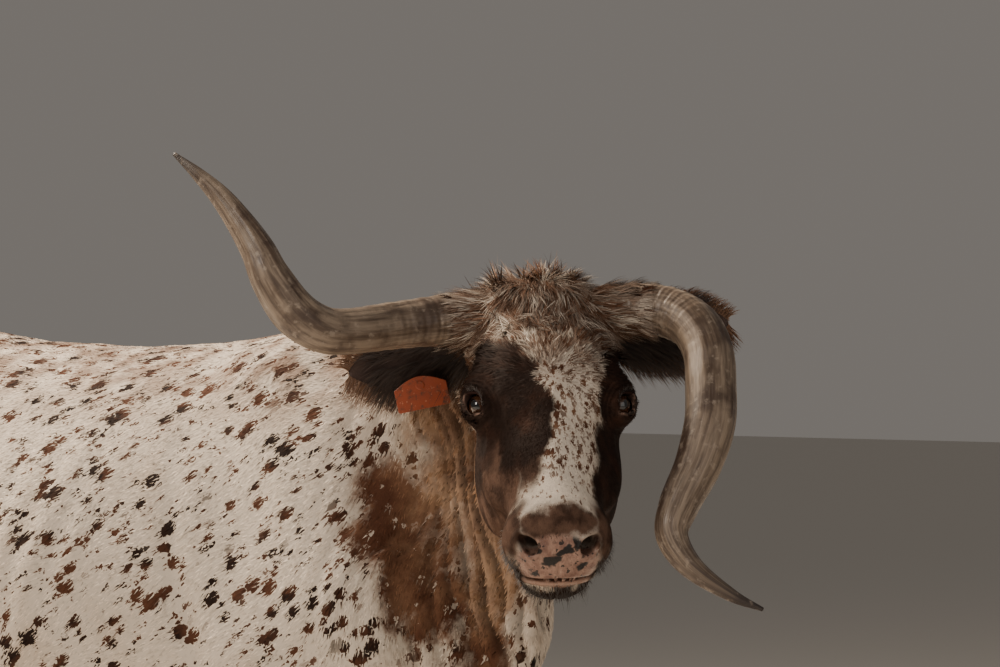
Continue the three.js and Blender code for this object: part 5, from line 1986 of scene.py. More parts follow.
    def horn_finish(self) -> bpy.types.Material:
        """Makes the horns' finish: grey-tan with brown streaks, rings at the base, dark tips.

        Returns:
            The material.
        """
        material, w, shader = self.start("streaked_horn")
        along = self.attribute(w, "along", "Fac")
        around = self.attribute(w, "around", "Vector")
        streaks = self.streaks.place(w, Round=around, Lengthways=along, Fineness=7.0)
        place = w.add("ShaderNodeNewGeometry").outputs["Position"]
        streaked = w.spread(streaks["Tone"], 0.36, 0.64)
        base = w.mix(streaked, colour(0.085, 0.055, 0.037), colour(0.28, 0.21, 0.15))
        cloud = w.noise(place, 16.0, 4.0)
        base = w.mix(w.spread(cloud, 0.48, 0.66, (0, 0.85)), base, colour(0.05, 0.027, 0.018))
        lengthways = w.combine(along, 0.0, 0.0)
        waves = {"Vector": lengthways, "Scale": 24.0, "Distortion": 2.2}
        rings = w.add("ShaderNodeTexWave", waves)
        near_base = w.spread(along, 0.34, 0.04)
        ringed = w.math("MULTIPLY", rings.outputs["Fac"], near_base)
        base = w.mix(w.math("MULTIPLY", ringed, 0.35), base, colour(0.10, 0.065, 0.045))
        base = w.mix(w.spread(along, 0.80, 0.985), base, colour(0.030, 0.020, 0.016))
        worn = w.spread(w.noise(place, 85.0, 5.0), 0.56, 0.72, (0, 0.5))
        base = w.mix(worn, base, colour(0.40, 0.32, 0.245))
        height = w.math("ADD", streaks["Height"], w.math("MULTIPLY", ringed, 0.6))
        normal = self.bump(w, height, 0.0013, 0.85)
        rough = w.spread(w.noise(place, 40.0, 4.0), 0.3, 0.7, (0.33, 0.58))
        self.connect(w, shader, Base_Color=base, Roughness=rough, Normal=normal)
        return material

    def hoof_finish(self) -> bpy.types.Material:
        """Makes the hooves' finish: dark horn with growth rings and dry, dusty edges.

        Returns:
            The material.
        """
        material, w, shader = self.start("dark_hoof")
        place = w.add("ShaderNodeNewGeometry").outputs["Position"]
        height = w.add("ShaderNodeSeparateXYZ", {0: place}).outputs[2]
        streaks = self.streaks.place(w, Round=place, Lengthways=height, Fineness=140.0)
        base = w.mix(streaks["Tone"], colour(0.055, 0.040, 0.032), colour(0.15, 0.11, 0.085))
        dust = w.math("MULTIPLY", w.spread(height, 0.05, 0.0), w.noise(place, 60.0, 4.0))
        base = w.mix(dust, base, colour(0.26, 0.20, 0.15))
        waves = {"Vector": place, "Scale": 42.0, "Distortion": 1.5}
        rings = w.add("ShaderNodeTexWave", waves, bands_direction="Z")
        normal = self.bump(w, rings.outputs["Fac"], 0.0009, 0.7)
        rough = w.spread(w.noise(place, 50.0), 0.3, 0.7, (0.42, 0.7))
        self.connect(w, shader, Base_Color=base, Roughness=rough, Normal=normal)
        return material

    def eye_finish(self) -> bpy.types.Material:
        """Makes the eye: a dark iris with a wide pupil under a wet surface.

        Returns:
            The material.
        """
        material, w, shader = self.start("wet_eye")
        local = self.attribute(w, "gaze", "Vector")
        oval = w.vector("MULTIPLY", local, (0.74, 1.5, 0.0))
        pupil = w.add("ShaderNodeVectorMath", {0: oval}, operation="LENGTH").outputs["Value"]
        flat = w.vector("MULTIPLY", local, (1.0, 1.0, 0.0))
        iris = w.add("ShaderNodeVectorMath", {0: flat}, operation="LENGTH").outputs["Value"]
        fibres = w.noise(local, 9.0, 5.0)
        brown = w.mix(fibres, colour(0.030, 0.012, 0.006), colour(0.095, 0.040, 0.018))
        base = w.mix(w.spread(pupil, 0.36, 0.42), colour(0.003, 0.003, 0.004), brown)
        white = w.mix(w.noise(local, 6.0), colour(0.17, 0.10, 0.075), colour(0.06, 0.03, 0.024))
        base = w.mix(w.spread(iris, 0.74, 0.84), base, white)
        self.connect(w, shader, Base_Color=base, Roughness=0.12, Coat_Weight=1.0, Coat_Roughness=0.02)
        return material

    def tag_finish(self) -> bpy.types.Material:
        """Makes the tag: worn orange plastic with grime and pale scuffs.

        Returns:
            The material.
        """
        material, w, shader = self.start("worn_orange_plastic")
        place = w.add("ShaderNodeNewGeometry").outputs["Position"]
        base = w.mix(w.noise(place, 50.0, 4.0), colour(0.46, 0.085, 0.024), colour(0.30, 0.055, 0.018))
        grime = w.spread(w.noise(place, 95.0, 5.0, 0.7), 0.48, 0.68, (0, 0.85))
        base = w.mix(grime, base, colour(0.11, 0.05, 0.028))
        scuffs = w.spread(w.noise(place, 240.0, 3.0), 0.62, 0.7, (0, 0.5))
        base = w.mix(scuffs, base, colour(0.75, 0.36, 0.2))
        normal = self.bump(w, w.noise(place, 300.0, 3.0), 0.0004, 0.5)
        self.connect(w, shader, Base_Color=base, Roughness=0.46, Normal=normal)
        return material


WHORL = (2, 213, 0)
SKIN_SHADE = 0.42
# How far the painted shade darkens the grooves between the neck pleats.
GROOVE_SHADE = 1.3
SKIN_NODES = (
    "head",
    "lower_jaw",
    "neck",
    "dewlap",
    "forequarters",
    "barrel",
    "hindquarters",
    *(f"{part}_leg_{leg}" for part in ("upper", "lower") for leg in LEGS),
    "udder",
    "tail_dock",
)


def hair_flow(points: Array, normals: Array) -> Array:
    """Gives which way the hair lies at each place on the skin.

    Args:
        points: places in mm.
        normals: outward directions there.

    Returns:
        One direction along the skin per place.
    """
    x, y, z = points.T
    local = in_head(points)
    flow = np.tile(vec(0, 0.80, -0.52), (len(points), 1))
    flow[:, 0] += np.sign(x) * 0.15
    on_back = ramp(0.75, 0.98, normals[:, 2])[:, None]
    flow = blend_values(flow, vec(0, 1, -0.1), on_back)
    necky = ramp(-560, -700, y)[:, None]
    flow = blend_values(flow, vec(0.1, 0.48, -0.85), necky)
    leggy = (ramp(640, 500, z) * ramp(60, 100, np.abs(x)))[:, None]
    flow = blend_values(flow, vec(0, 0.12, -1), leggy)
    tail = ramp(800, 830, y)[:, None]
    flow = blend_values(flow, vec(0, 0.1, -1), tail)
    spread = unit(points - head_point(*WHORL))
    on_face = ramp(-40, 40, local[:, 1]) * ramp(190, 140, np.abs(local[:, 0]))
    on_face *= ramp(-235, -190, local[:, 2]) * ramp(620, 600, local[:, 1])
    flow = blend_values(flow, spread, on_face[:, None])
    swirl = np.stack([ripple(points, 150, seed) for seed in (11, 12, 13)], axis=1)
    flow = unit(flow) + swirl * 0.16
    flow -= normals * np.sum(flow * normals, axis=1, keepdims=True)
    return unit(flow)


@dataclass
class Strands:
    """Flat tapered strands, one per root, as arrays.

    Attributes:
        roots: where each leaves the skin.
        normals: outward directions there.
        lies: which way each lies.
        lengths: how long each is, in mm.
        widths: how wide each is, in mm.
        lifts: how far each bends away from the skin, in mm.
        rows: how many pairs of vertices each has before its tip.
        sag: how far each tip falls, in parts of its length.
        tip_lift: how far out the tip ends, in parts of the lift.
        darker: what is taken off each one's random shade; the coat passes painted shade for the grooves
            between the neck pleats.
    """

    roots: Array
    normals: Array
    lies: Array
    lengths: Array
    widths: Array
    lifts: Array
    rows: int = 2
    sag: float = 0.0
    tip_lift: float = 0.55
    darker: Array | float = 0.0

    def build(
        self,
        name: str,
        material: bpy.types.Material,
        slot: Slot,
        seed: int,
        replaces: Sequence[str] = (),
    ) -> bpy.types.Object:
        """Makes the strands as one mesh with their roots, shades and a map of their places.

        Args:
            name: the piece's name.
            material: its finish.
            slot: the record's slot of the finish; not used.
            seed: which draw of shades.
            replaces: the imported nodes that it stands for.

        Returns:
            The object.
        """
        draw = np.random.default_rng(seed)
        count = len(self.roots)
        sides = unit(np.cross(self.lies, self.normals))
        lift, length = self.lifts[:, None], self.lengths[:, None]
        begin = self.roots - self.normals * np.minimum(1.5, self.lengths * 0.1)[:, None]
        middle = self.roots + self.normals * lift + self.lies * length * 0.4
        end = self.roots + self.normals * lift * self.tip_lift + self.lies * length
        end[:, 2] -= self.lengths * self.sag
        each = 2 * self.rows + 1
        points = np.empty((count, each, 3))
        along = np.empty(each)
        for row in range(self.rows + 1):
            t = row / self.rows
            centre = begin * (1 - t) ** 2 + middle * 2 * t * (1 - t) + end * t**2
            if row == self.rows:
                points[:, -1] = centre
                along[-1] = 1
                continue
            half = self.widths[:, None] / 2 * (0.72 + 0.28 * math.sin(math.pi * t)) * (1 - t**2.2)
            points[:, 2 * row] = centre - sides * half
            points[:, 2 * row + 1] = centre + sides * half
            along[2 * row : 2 * row + 2] = t
        pattern = []
        for row in range(self.rows - 1):
            a = 2 * row
            pattern += [(a, a + 1, a + 3), (a, a + 3, a + 2)]
        pattern.append((each - 3, each - 2, each - 1))
        faces = (np.array(pattern)[None] + np.arange(count)[:, None, None] * each).reshape(-1, 3)
        piece = mesh_object(name, points.reshape(-1, 3), faces, material, replaces)
        tilted = unit(self.normals + self.lies * 0.1 + draw.normal(scale=0.13, size=(count, 3)))
        piece.data.normals_split_custom_set_from_vertices(np.repeat(tilted, each, axis=0))
        roots = np.repeat((self.roots + SHIFT) * METRE, each, axis=0)
        add_attribute(piece, "root", roots)
        # Each strand's shade is random, less any painted shade that darker carries.
        add_attribute(piece, "shade", np.repeat(draw.random(count) - self.darker, each))
        add_attribute(piece, "tip", np.tile(along, count))
        self.map_places(piece, faces, each)
        return piece

    def map_places(self, piece: bpy.types.Object, faces: Array, each: int) -> None:
        """Gives each strand a small patch at its root's place on a flattened skin.

        Args:
            piece: the strands' object.
            faces: its faces.
            each: how many vertices a strand has.
        """
        axis = np.abs(self.normals).argmax(axis=1)
        positive = self.normals[np.arange(len(axis)), axis] > 0
        low, high = self.roots.min(axis=0), self.roots.max(axis=0)
        scaled = (self.roots - low) / np.maximum(high - low, 1e-6)
        u = np.where(axis == 0, scaled[:, 1], scaled[:, 0])
        v = np.where(axis == 2, scaled[:, 1], scaled[:, 2])
        flat = np.stack([(axis + 0.02 + u * 0.96) / 3, (positive + 0.02 + v * 0.96) / 2], axis=1)
        half = 0.0015
        offsets = np.empty((each, 2))
        for row in range((each - 1) // 2):
            height = blend_values(-half, half, row * 2 / (each - 1))
            offsets[2 * row] = (-half, height)
            offsets[2 * row + 1] = (half, height)
        offsets[-1] = (0, half)
        uv = (flat[:, None] + offsets[None]).reshape(-1, 2)
        layer = piece.data.uv_layers.new(name="OFBake")
        layer.data.foreach_set("uv", uv[faces.ravel()].astype(np.float32).ravel())


@dataclass(frozen=True)
class Coat:
    """The short coat, in tufts that overlap along the hair's lie.

    Lengths, widths and spacings are in mm. The spacing is the side of the square that one tuft
    covers.
    """

    body_length: float = 14.0
    face_length: float = 6.5
    foot_length: float = 8.0
    nose_length: float = 4.2
    crown_length: float = 17.0
    coronet_length: float = 19.0
    pleat_length: float = 10.0
    dewlap_length: float = 21.0
    body_width: float = 2.5
    fine_width: float = 1.5
    nose_width: float = 1.1
    body_spacing: float = 5.0
    face_spacing: float = 3.1
    nose_spacing: float = 2.5
    leg_spacing: float = 3.9
    most_tufts: int = 62000
    neck_start: float = -560.0
    leg_top: float = 560.0

    def areas(self, points: Array) -> dict[str, Array]:
        """Tells for each piece of the coat which places it covers.

        Args:
            points: places in mm.

        Returns:
            One mask per piece, under the piece's name.
        """
        local = in_head(points)
        head = (local[:, 1] > -60) & (np.abs(local[:, 0]) < 170) & (local[:, 2] > -260)
        low = points[:, 2] <= self.leg_top
        ahead = points[:, 1] < self.neck_start
        side = ~head & ~ahead & ~low
        return {
            "coat_head": head,
            "coat_neck": ~head & ahead & ~low,
            "coat_legs": ~head & low,
            "coat_right_side": side & (points[:, 0] <= 0),
            "coat_left_side": side & (points[:, 0] >= 0),
        }

    def wish(self, points: Array) -> tuple[Array, Array, Array, Array]:
        """Gives how the tufts are wished at each place.

        Args:
            points: places in mm.

        Returns:
            The tufts' length, width, lift and spacing.
        """
        local = in_head(points)
        on_head = ramp(-60, 60, local[:, 1]) * ramp(190, 150, np.abs(local[:, 0]))
        on_head *= ramp(-260, -215, local[:, 2])
        low = ramp(430, 330, points[:, 2])
        fine = np.maximum(on_head, low)
        nose = on_head * ramp(290, 430, local[:, 1])
        crown = on_head * ramp(225, 100, local[:, 1]) * ramp(-90, -50, local[:, 2])
        pleated = bell((points - NECK_START) @ NECK_WAY - 58, 82) * ramp(-560, -640, points[:, 1])
        pleated *= ramp(720, 850, points[:, 2]) * (1 - on_head)
        dewlap = ramp(-640, -720, points[:, 1]) * ramp(820, 700, points[:, 2])
        length = self.body_length
        for there, amount in (
            (self.face_length, on_head),
            (self.foot_length, low),
            (self.nose_length, nose),
            (self.crown_length, crown),
            (self.coronet_length, ramp(112, 92, points[:, 2])),
            (self.pleat_length, pleated),
            (self.dewlap_length, dewlap),
        ):
            length = blend_values(length, there, amount)
        width = blend_values(self.body_width, self.fine_width, fine)
        width = blend_values(width, self.nose_width, nose)
        lift = length * blend_values(0.07, 0.09, fine) + crown * 2.0
        spacing = blend_values(self.body_spacing, self.face_spacing, on_head)
        spacing = blend_values(spacing, self.nose_spacing, nose)
        spacing = blend_values(spacing, self.leg_spacing, low)
        return length, width, lift, spacing

    def bare(self, points: Array) -> Array:
        """Tells where no hair grows: the nose pad, lips, eyes, mouth, nostrils and udder.

        Args:
            points: places in mm.

        Returns:
            One yes or no per place.
        """
        local = in_head(points)
        pad = np.linalg.norm((local - vec(0, 490, -98)) / vec(53, 29, 38), axis=1) < 1
        lip = (np.abs(HEAD.mouth_height(local)) < 6) & (local[:, 1] > HEAD.mouth_corner - 8)
        bare = pad | (lip & (np.abs(local[:, 0]) < 90))
        bare |= (HEAD.nostril(local) < 6) & (np.abs(local[:, 1] - 476) < 60)
        for socket in SOCKETS.values():
            at = socket.local(points)
            bare |= (np.linalg.norm(at, axis=1) < 33) & (socket.opening(at) < 3.2) & (at[:, 2] > -4)
        udder = np.linalg.norm((points - vec(0, 500, 640)) / vec(96, 136, 76), axis=1) < 1
        bare |= udder | (points[:, 2] < 74)
        return bare

    def build(self, surface: Surface, finishes: Finishes) -> None:
        """Scatters the tufts over the skin, area by area.

        Args:
            surface: the skin.
            finishes: every material.
        """
        corners = surface.points[surface.faces]
        middles = corners.mean(axis=1)
        areas = surface.areas()
        spacing = self.wish(middles)[3]
        wanted = areas / np.square(spacing)
        wanted[self.bare(middles)] = 0
        for index, (name, covered) in enumerate(self.areas(middles).items()):
            draw = np.random.default_rng(100 + index)
            expected = np.where(covered, wanted, 0)
            expected *= min(1.0, self.most_tufts / max(expected.sum(), 1))
            count = np.floor(expected + draw.random(len(expected))).astype(int)
            face = np.repeat(np.arange(len(count)), count)
            shares = draw.dirichlet((1, 1, 1), len(face))
            roots = np.einsum("ij,ijk->ik", shares, corners[face])
            normals = unit(np.einsum("ij,ijk->ik", shares, surface.normals[surface.faces[face]]))
            kept = ~self.bare(roots)
            roots, normals = roots[kept], normals[kept]
            length, width, lift, _ = self.wish(roots)
            lies = hair_flow(roots, normals)
            jitter = draw.normal(scale=0.16, size=lies.shape)
            jitter -= normals * np.sum(jitter * normals, axis=1, keepdims=True)
            # Painted shade darkens the tufts in the grooves between the neck pleats.
            strands = Strands(
                roots,
                normals,
                unit(lies + jitter),
                length * draw.uniform(0.75, 1.25, len(roots)),
                width * draw.uniform(0.8, 1.25, len(roots)),
                lift * draw.uniform(0.5, 1.4, len(roots)),
                darker=neck_pleats(roots) * GROOVE_SHADE,
            )
            strands.build(name, finishes.coat, Slot.COAT, 200 + index)


def on_skin(measure: Measure, start: Array, directions: Array, reach: float) -> Array:
    """Finds where rays from inside meet the skin.

    Args:
        measure: the skin's field.
        start: where each ray begins.
        directions: which way each goes.
        reach: how far each may go, in mm.

    Returns:
        One place per ray.
    """
    near = np.zeros(len(start))
    far = np.full(len(start), reach)
    for _ in range(22):
        middle = (near + far) / 2
        inside = measure(start + directions * middle[:, None]) < 0
        near = np.where(inside, middle, near)
        far = np.where(inside, far, middle)
    return start + directions * ((near + far) / 2)[:, None]


@dataclass(frozen=True)
class CrownHair:
    """The woolly hair of the poll and forehead, and the sleeves over the horn bases."""

    count: int = 15000
    sleeve_count: int = 3400
    spread: float = math.radians(78)
    core: float = -66
    behind: float = -26
    ahead: float = 240
    longest: float = 33
    shortest: float = 9

    def build(self, measure: Measure, finishes: Finishes) -> None:
        """Makes the crown hair as long thin strands in clumps.

        Args:
            measure: the skin's field.
            finishes: every material.
        """
        draw = np.random.default_rng(31)
        turn = draw.uniform(-self.spread, self.spread, self.count)
        along = draw.uniform(self.behind, self.ahead, self.count)
        fades = ramp(245, 120, along) * ramp(1.1, 0.6, np.abs(turn) * ramp(90, 170, along))
        chosen = draw.random(self.count) < fades
        turn, along = turn[chosen], along[chosen]
        ways = np.outer(np.sin(turn), ACROSS) + np.outer(np.cos(turn), OUT)
        start = POLL + np.outer(np.sin(turn) * 30, ACROSS) + np.outer(along, ALONG) + OUT * self.core
        roots = on_skin(measure, start, ways, 190)
        kept = np.min([horn.distance(roots) for horn in HORNS.values()], axis=0) > 2
        for socket in SOCKETS.values():
            kept &= np.linalg.norm(roots - socket.centre(), axis=1) > 46
        roots, along, turn = roots[kept], along[kept], turn[kept]
        normals = unit(gradient(measure, roots))
        clump = np.stack([ripple(roots, 40, seed) for seed in (61, 62, 63)], axis=1)
        curl = np.stack([ripple(roots, 17, seed) for seed in (64, 65, 66)], axis=1)
        over = ramp(-14, 40, along)[:, None]
        lies = blend_values(OUT * 0.7 - ALONG * 0.6, ALONG * 0.75, over)
        lies = lies + np.outer(np.sin(turn) * 1.1, ACROSS)
        upward = ramp(70, 130, along)[:, None]
        lies = blend_values(lies, unit(roots - head_point(*WHORL)), upward)
        lies = lies + clump * 0.5 + curl * 0.4
        lies -= normals * np.sum(lies * normals, axis=1, keepdims=True) * 0.85
        length = blend_values(self.longest, self.shortest, ramp(20, 235, along))
        length = length * draw.uniform(0.65, 1.3, len(roots))
        Strands(
            roots,
            normals,
            unit(lies),
            length,
            draw.uniform(0.9, 1.6, len(roots)),
            length * draw.uniform(0.1, 0.34, len(roots)),
            rows=4,
            sag=0.08,
            tip_lift=0.6,
        ).build("crown_hair", finishes.crown, Slot.LONG_HAIR, 301, ("poll",))
        for side, horn in HORNS.items():
            self.sleeve(side, horn, measure, finishes, draw)

    def sleeve(
        self,
        side: str,
        horn: "Horn",
        measure: Measure,
        finishes: Finishes,
        draw: np.random.Generator,
    ) -> None:
        """Makes the hair that runs out over one horn's base.

        Args:
            side: right or left.
            horn: the horn.
            measure: the skin's field.
            finishes: every material.
            draw: the crown's random draws.
        """
        t = draw.uniform(0.0, 0.112, self.sleeve_count)
        turn = draw.uniform(0, 2 * math.pi, self.sleeve_count)
        centre, first, second, radius, onward = horn.frames(t)
        normals = first * np.cos(turn)[:, None] + second * np.sin(turn)[:, None]
        roots = centre + normals * (radius + 0.5)[:, None]
        outside = measure(roots)
        kept = (outside > -8) & (outside < 64)
        length = draw.uniform(16, 40, self.sleeve_count) * ramp(98, 0, outside)
        clump = np.stack([ripple(roots, 34, seed) for seed in (67, 68, 69)], axis=1)
        lies = unit(onward + clump * 0.3 + draw.normal(scale=0.12, size=onward.shape))
        kept &= length > 6
        Strands(
            roots[kept],
            normals[kept],
            lies[kept],
            length[kept],
            draw.uniform(1.1, 1.9, kept.sum()),
            length[kept] * 0.12,
            rows=3,
        ).build(f"horn_sleeve_{side}", finishes.crown, Slot.LONG_HAIR, 302)


@dataclass(frozen=True)
class Horn:
    """One horn, as rows beside, ahead of and above the poll with their radius."""

    side: str
    rows: tuple[tuple[float, float, float, float], ...]
    stations: int = 240
    sides: int = 44

    def middles(self) -> list[Array]:
        """Returns the places that the horn's middle line runs through."""
        return [beside_poll(*row[:3]) for row in self.rows]

    def distance(self, points: Array) -> Array:
        """Gives about how far outside the horn places are.

        Args:
            points: places in mm.

        Returns:
            One distance in mm per place.
        """
        middles = self.middles()
        nearest = np.full(len(points), FAR)
        for start, end, first, last in zip(middles, middles[1:], self.rows, self.rows[1:]):
            reach = line_distance(points, [start, end]) - max(first[3], last[3])
            nearest = np.minimum(nearest, reach)
        return nearest

    def frames(self, t: Array) -> tuple[Array, Array, Array, Array, Array]:
        """Returns middles, two directions across, radii and onward directions at t.

        Args:
            t: where along the horn, from 0 to 1.

        Returns:
            One row per value of t in each of the five.
        """
        fine = np.linspace(0, 1, 600)
        line = flowing_line(self.middles(), fine)
        radii = flowing_line([vec(row[3], 0, 0) for row in self.rows], fine)[:, 0]
        onward = unit(np.gradient(line, axis=0))
        first = np.empty_like(line)
        first[0] = unit(UP - onward[0] * (UP @ onward[0]))
        for i in range(1, len(line)):
            first[i] = unit(first[i - 1] - onward[i] * (first[i - 1] @ onward[i]))
        second = np.cross(onward, first)
        at = [np.stack([np.interp(t, fine, row[:, k]) for k in range(3)], axis=1)
              for row in (line, first, second, onward)]
        return at[0], unit(at[1]), unit(at[2]), np.interp(t, fine, radii), unit(at[3])

    def build(self, finishes: Finishes) -> None:
        """Makes the horn with rings at its base and grooves along it.

        Args:
            finishes: every material.
        """
        t = np.linspace(0, 1, self.stations)
        centre, first, second, radius, _ = self.frames(t)
        turn = np.linspace(0, 2 * math.pi, self.sides, endpoint=False)
        grid_t, grid_turn = np.meshgrid(t, turn, indexing="ij")
        rings = np.sin(grid_t * 210 + 0.8 * np.sin(grid_turn * 2)) * 0.5 * ramp(0.42, 0.08, grid_t)
        grooves = np.sin(grid_turn * 9 + 5 * np.sin(grid_t * 5)) * 0.5
        grooves += np.sin(grid_turn * 17 + grid_t * 9) * 0.25
        spread_out = np.stack([grid_t * 900, grid_turn * 30, grid_turn * 0], axis=-1)
        lumps = ripple(spread_out.reshape(-1, 3), 120, 8).reshape(grid_t.shape)
        height = rings + grooves * ramp(0.02, 0.2, grid_t) + lumps * 0.6 - 0.9
        reach = np.maximum(radius[:, None] + height * np.clip(radius / 20, 0, 1)[:, None], 0.6)
        ways = np.cos(turn)[:, None] * first[:, None] + np.sin(turn)[:, None] * second[:, None]
        points = centre[:, None] + ways * reach[..., None]
        flat = points.reshape(-1, 3)
        tip = centre[-1:] + (centre[-1:] - centre[-2:-1]) * 0.4
        flat = np.vstack([flat, centre[:1], tip])
        faces = tube_faces(self.stations, self.sides, True)
        name = f"horn_{self.side}_grown"
        piece = mesh_object(name, flat, faces, finishes.horn, (f"horn_{self.side}",))
        add_attribute(piece, "along", np.append(np.repeat(t, self.sides), [0, 1]))
        round_ways = np.stack([np.cos(grid_turn), np.sin(grid_turn), grid_t], axis=-1).reshape(-1, 3)
        add_attribute(piece, "around", np.vstack([round_ways, [[0, 0, 0], [0, 0, 1]]]))


HORNS = {
    "right": Horn(
        "right",
        (
            (-58, -8, -52, 31),
            (-124, -6, -57, 35),
            (-203, 31, -65, 33.5),
            (-273, 84, -73, 32.5),
            (-312, 108, -70, 33),
            (-344, 121, -50, 33),
            (-378, 124, -4, 29),
            (-398, 117, 38, 24.5),
            (-441, 89, 103, 16),
            (-479, 61, 142, 9.5),
            (-511, 34, 170, 3),
        ),
    ),
    "left": Horn(
        "left",
        (
            (64, -4, -44, 32),
            (132, 2, -44, 36),
            (174, 20, -49, 36),
            (205, 48, -68, 36),
            (222, 78, -104, 36),
            (222, 108, -150, 36),
            (218, 136, -198, 36),
            (200, 165, -253, 33),
            (171, 191, -309, 28),
            (160, 207, -345, 23),
            (182, 224, -386, 17),
            (238, 240, -427, 9.5),
            (280, 249, -446, 3),
        ),
    ),
}


@dataclass(frozen=True)
class EarHair:
    """One kind of hair on an ear.

    Attributes:
        name: what it is called.
        count: how many hairs there are.
        along: where it grows between the root, 0, and the tip, 1.
        across: where it grows between the middle, 0, and the edges, 1.
        raised: 0.5 on the inner face, -0.5 on the outer.
        lengths: the shortest and the longest, in mm.
        width: how wide a hair is, in mm.
        lift: how far each bends away, in parts of its length.
        spread: how far it leans towards the edge.
        opened: how far it leans out of the cup.
        rows: how many pairs of vertices each has before its tip.
        sag: how far its tip falls, in parts of its length.
        both_edges: whether each hair is put on one edge or the other by chance.
    """

    name: str
    count: int
    along: tuple[float, float]
    across: tuple[float, float]
    raised: float
    lengths: tuple[float, float]
    width: float
    lift: float
    spread: float = 0.9
    opened: float = 0.0
    rows: int = 4
    sag: float = 0.3
    both_edges: bool = True


FUR = EarHair(
    "fur",
    5200,
    (0.02, 0.98),
    (-1, 1),
    -0.5,
    (7, 12),
    1.6,
    0.12,
    spread=0.35,
    rows=2,
    sag=0.0,
    both_edges=False,
)
RIM = EarHair("rim", 1900, (0.08, 1.0), (0.88, 1), 0.0, (16, 42), 1.3, 0.25, opened=0.12)
CUP = EarHair("cup", 1500, (0.06, 0.8), (0.1, 0.97), 0.5, (18, 46), 1.3, 0.5, opened=0.5)


@dataclass(frozen=True)
class Ear:
    """One ear: a leaf-shaped cup with a hairy rim.

    Each section is its place from root to tip, half width, depth of the cup and thickness.
    """

    side: str
    root: tuple[float, float, float]
    tip: tuple[float, float, float]
    sections: tuple[tuple[float, float, float, float], ...] = (
        (0, 15, 14, 18),
        (0.14, 27, 27, 16),
        (0.3, 38, 30, 9),
        (0.5, 45, 27, 7),
        (0.7, 41, 20, 6.5),
        (0.86, 27, 11, 6),
        (0.96, 12, 4, 5),
        (1, 4, 1, 3),
    )
    thinness: float = 0.55
    stations: int = 56
    columns: int = 28

    def axes(self) -> tuple[Array, Array, Array, Array, float]:
        """Returns the root, the way to the tip, the way across, the open way and the length.

        Returns:
            The five, in that order.
        """
        start = beside_poll(*self.root)
        axis = beside_poll(*self.tip) - start
        reach = float(np.linalg.norm(axis))
        axis = axis / reach
        opening = unit(AHEAD - axis * (AHEAD @ axis))
        return start, axis, np.cross(axis, opening), opening, reach

    def place(self, t: Array, across: Array, raised: Array) -> Array:
        """Returns places on the ear.

        Args:
            t: from root to tip.
            across: from edge to edge, -1 to 1.
            raised: 0.5 on the inner face, -0.5 on the outer.

        Returns:
            One place per row of the inputs.
        """
        start, axis, width, opening, reach = self.axes()
        at, *columns = zip(*self.sections)
        half, cup, thick = (curve_through(at, column)(t) for column in columns)
        curl = 1 + 0.05 * np.sin(t * 19 + across * 3)
        back = cup * (1 - across**2) * curl
        back = back - raised * thick * self.thinness * (1 - 0.6 * across**2)
        return (
            start
            + np.outer(reach * t, axis)
            + np.outer(across * half * 0.97, width)
            - np.outer(back, opening)
        )

    def build(self, finishes: Finishes) -> None:
        """Makes the shell, its short fur and its long hairs.

        Args:
            finishes: every material.
        """
        t = np.repeat(np.linspace(0, 1, self.stations), 2 * self.columns)
        across = np.tile(
            np.concatenate([np.linspace(-1, 1, self.columns), np.linspace(1, -1, self.columns)]),
            self.stations,
        )
        raised = np.tile(np.repeat([-0.5, 0.5], self.columns), self.stations)
        points = self.place(t, across, raised)
        faces = tube_faces(self.stations, 2 * self.columns, False)
        node = f"ear_{self.side}"
        piece = mesh_object(f"{node}_shell", points, faces, finishes.ear, (node,))
        add_attribute(piece, "cup", (raised > 0).astype(float))
        self.fur(finishes)

    def fur(self, finishes: Finishes) -> None:
        """Makes the ear's short outer fur, the long rim and the hair in the cup.

        Args:
            finishes: every material.
        """
        _, axis, width, opening, _ = self.axes()
        draw = np.random.default_rng(71 if self.side == "right" else 72)
        for hair in (FUR, RIM, CUP):
            t = draw.uniform(*hair.along, hair.count)
            across = draw.uniform(*hair.across, hair.count)
            if hair.both_edges:
                across *= np.where(draw.random(hair.count) < 0.5, -1, 1)
            roots = self.place(t, across, np.full(hair.count, hair.raised))
            outward = opening * (1.0 if hair.raised > 0 else -1.0)
            normals = np.tile(outward, (hair.count, 1)) + np.outer(across * 0.5, width)
            lies = axis + np.outer(across * hair.spread, width) + opening * hair.opened
            lies = unit(lies + draw.normal(scale=0.2, size=lies.shape))
            length = draw.uniform(*hair.lengths, hair.count) * (1.15 - 0.4 * t)
            Strands(
                roots,
                unit(normals),
                lies,
                length,
                draw.uniform(0.7, 1.1, hair.count) * hair.width,
                length * hair.lift,
                rows=hair.rows,
                sag=hair.sag,
            ).build(
                f"ear_{self.side}_{hair.name}",
                finishes.ear_hair if hair is CUP else finishes.rim_hair,
                Slot.COAT,
                310 + len(hair.name),
            )


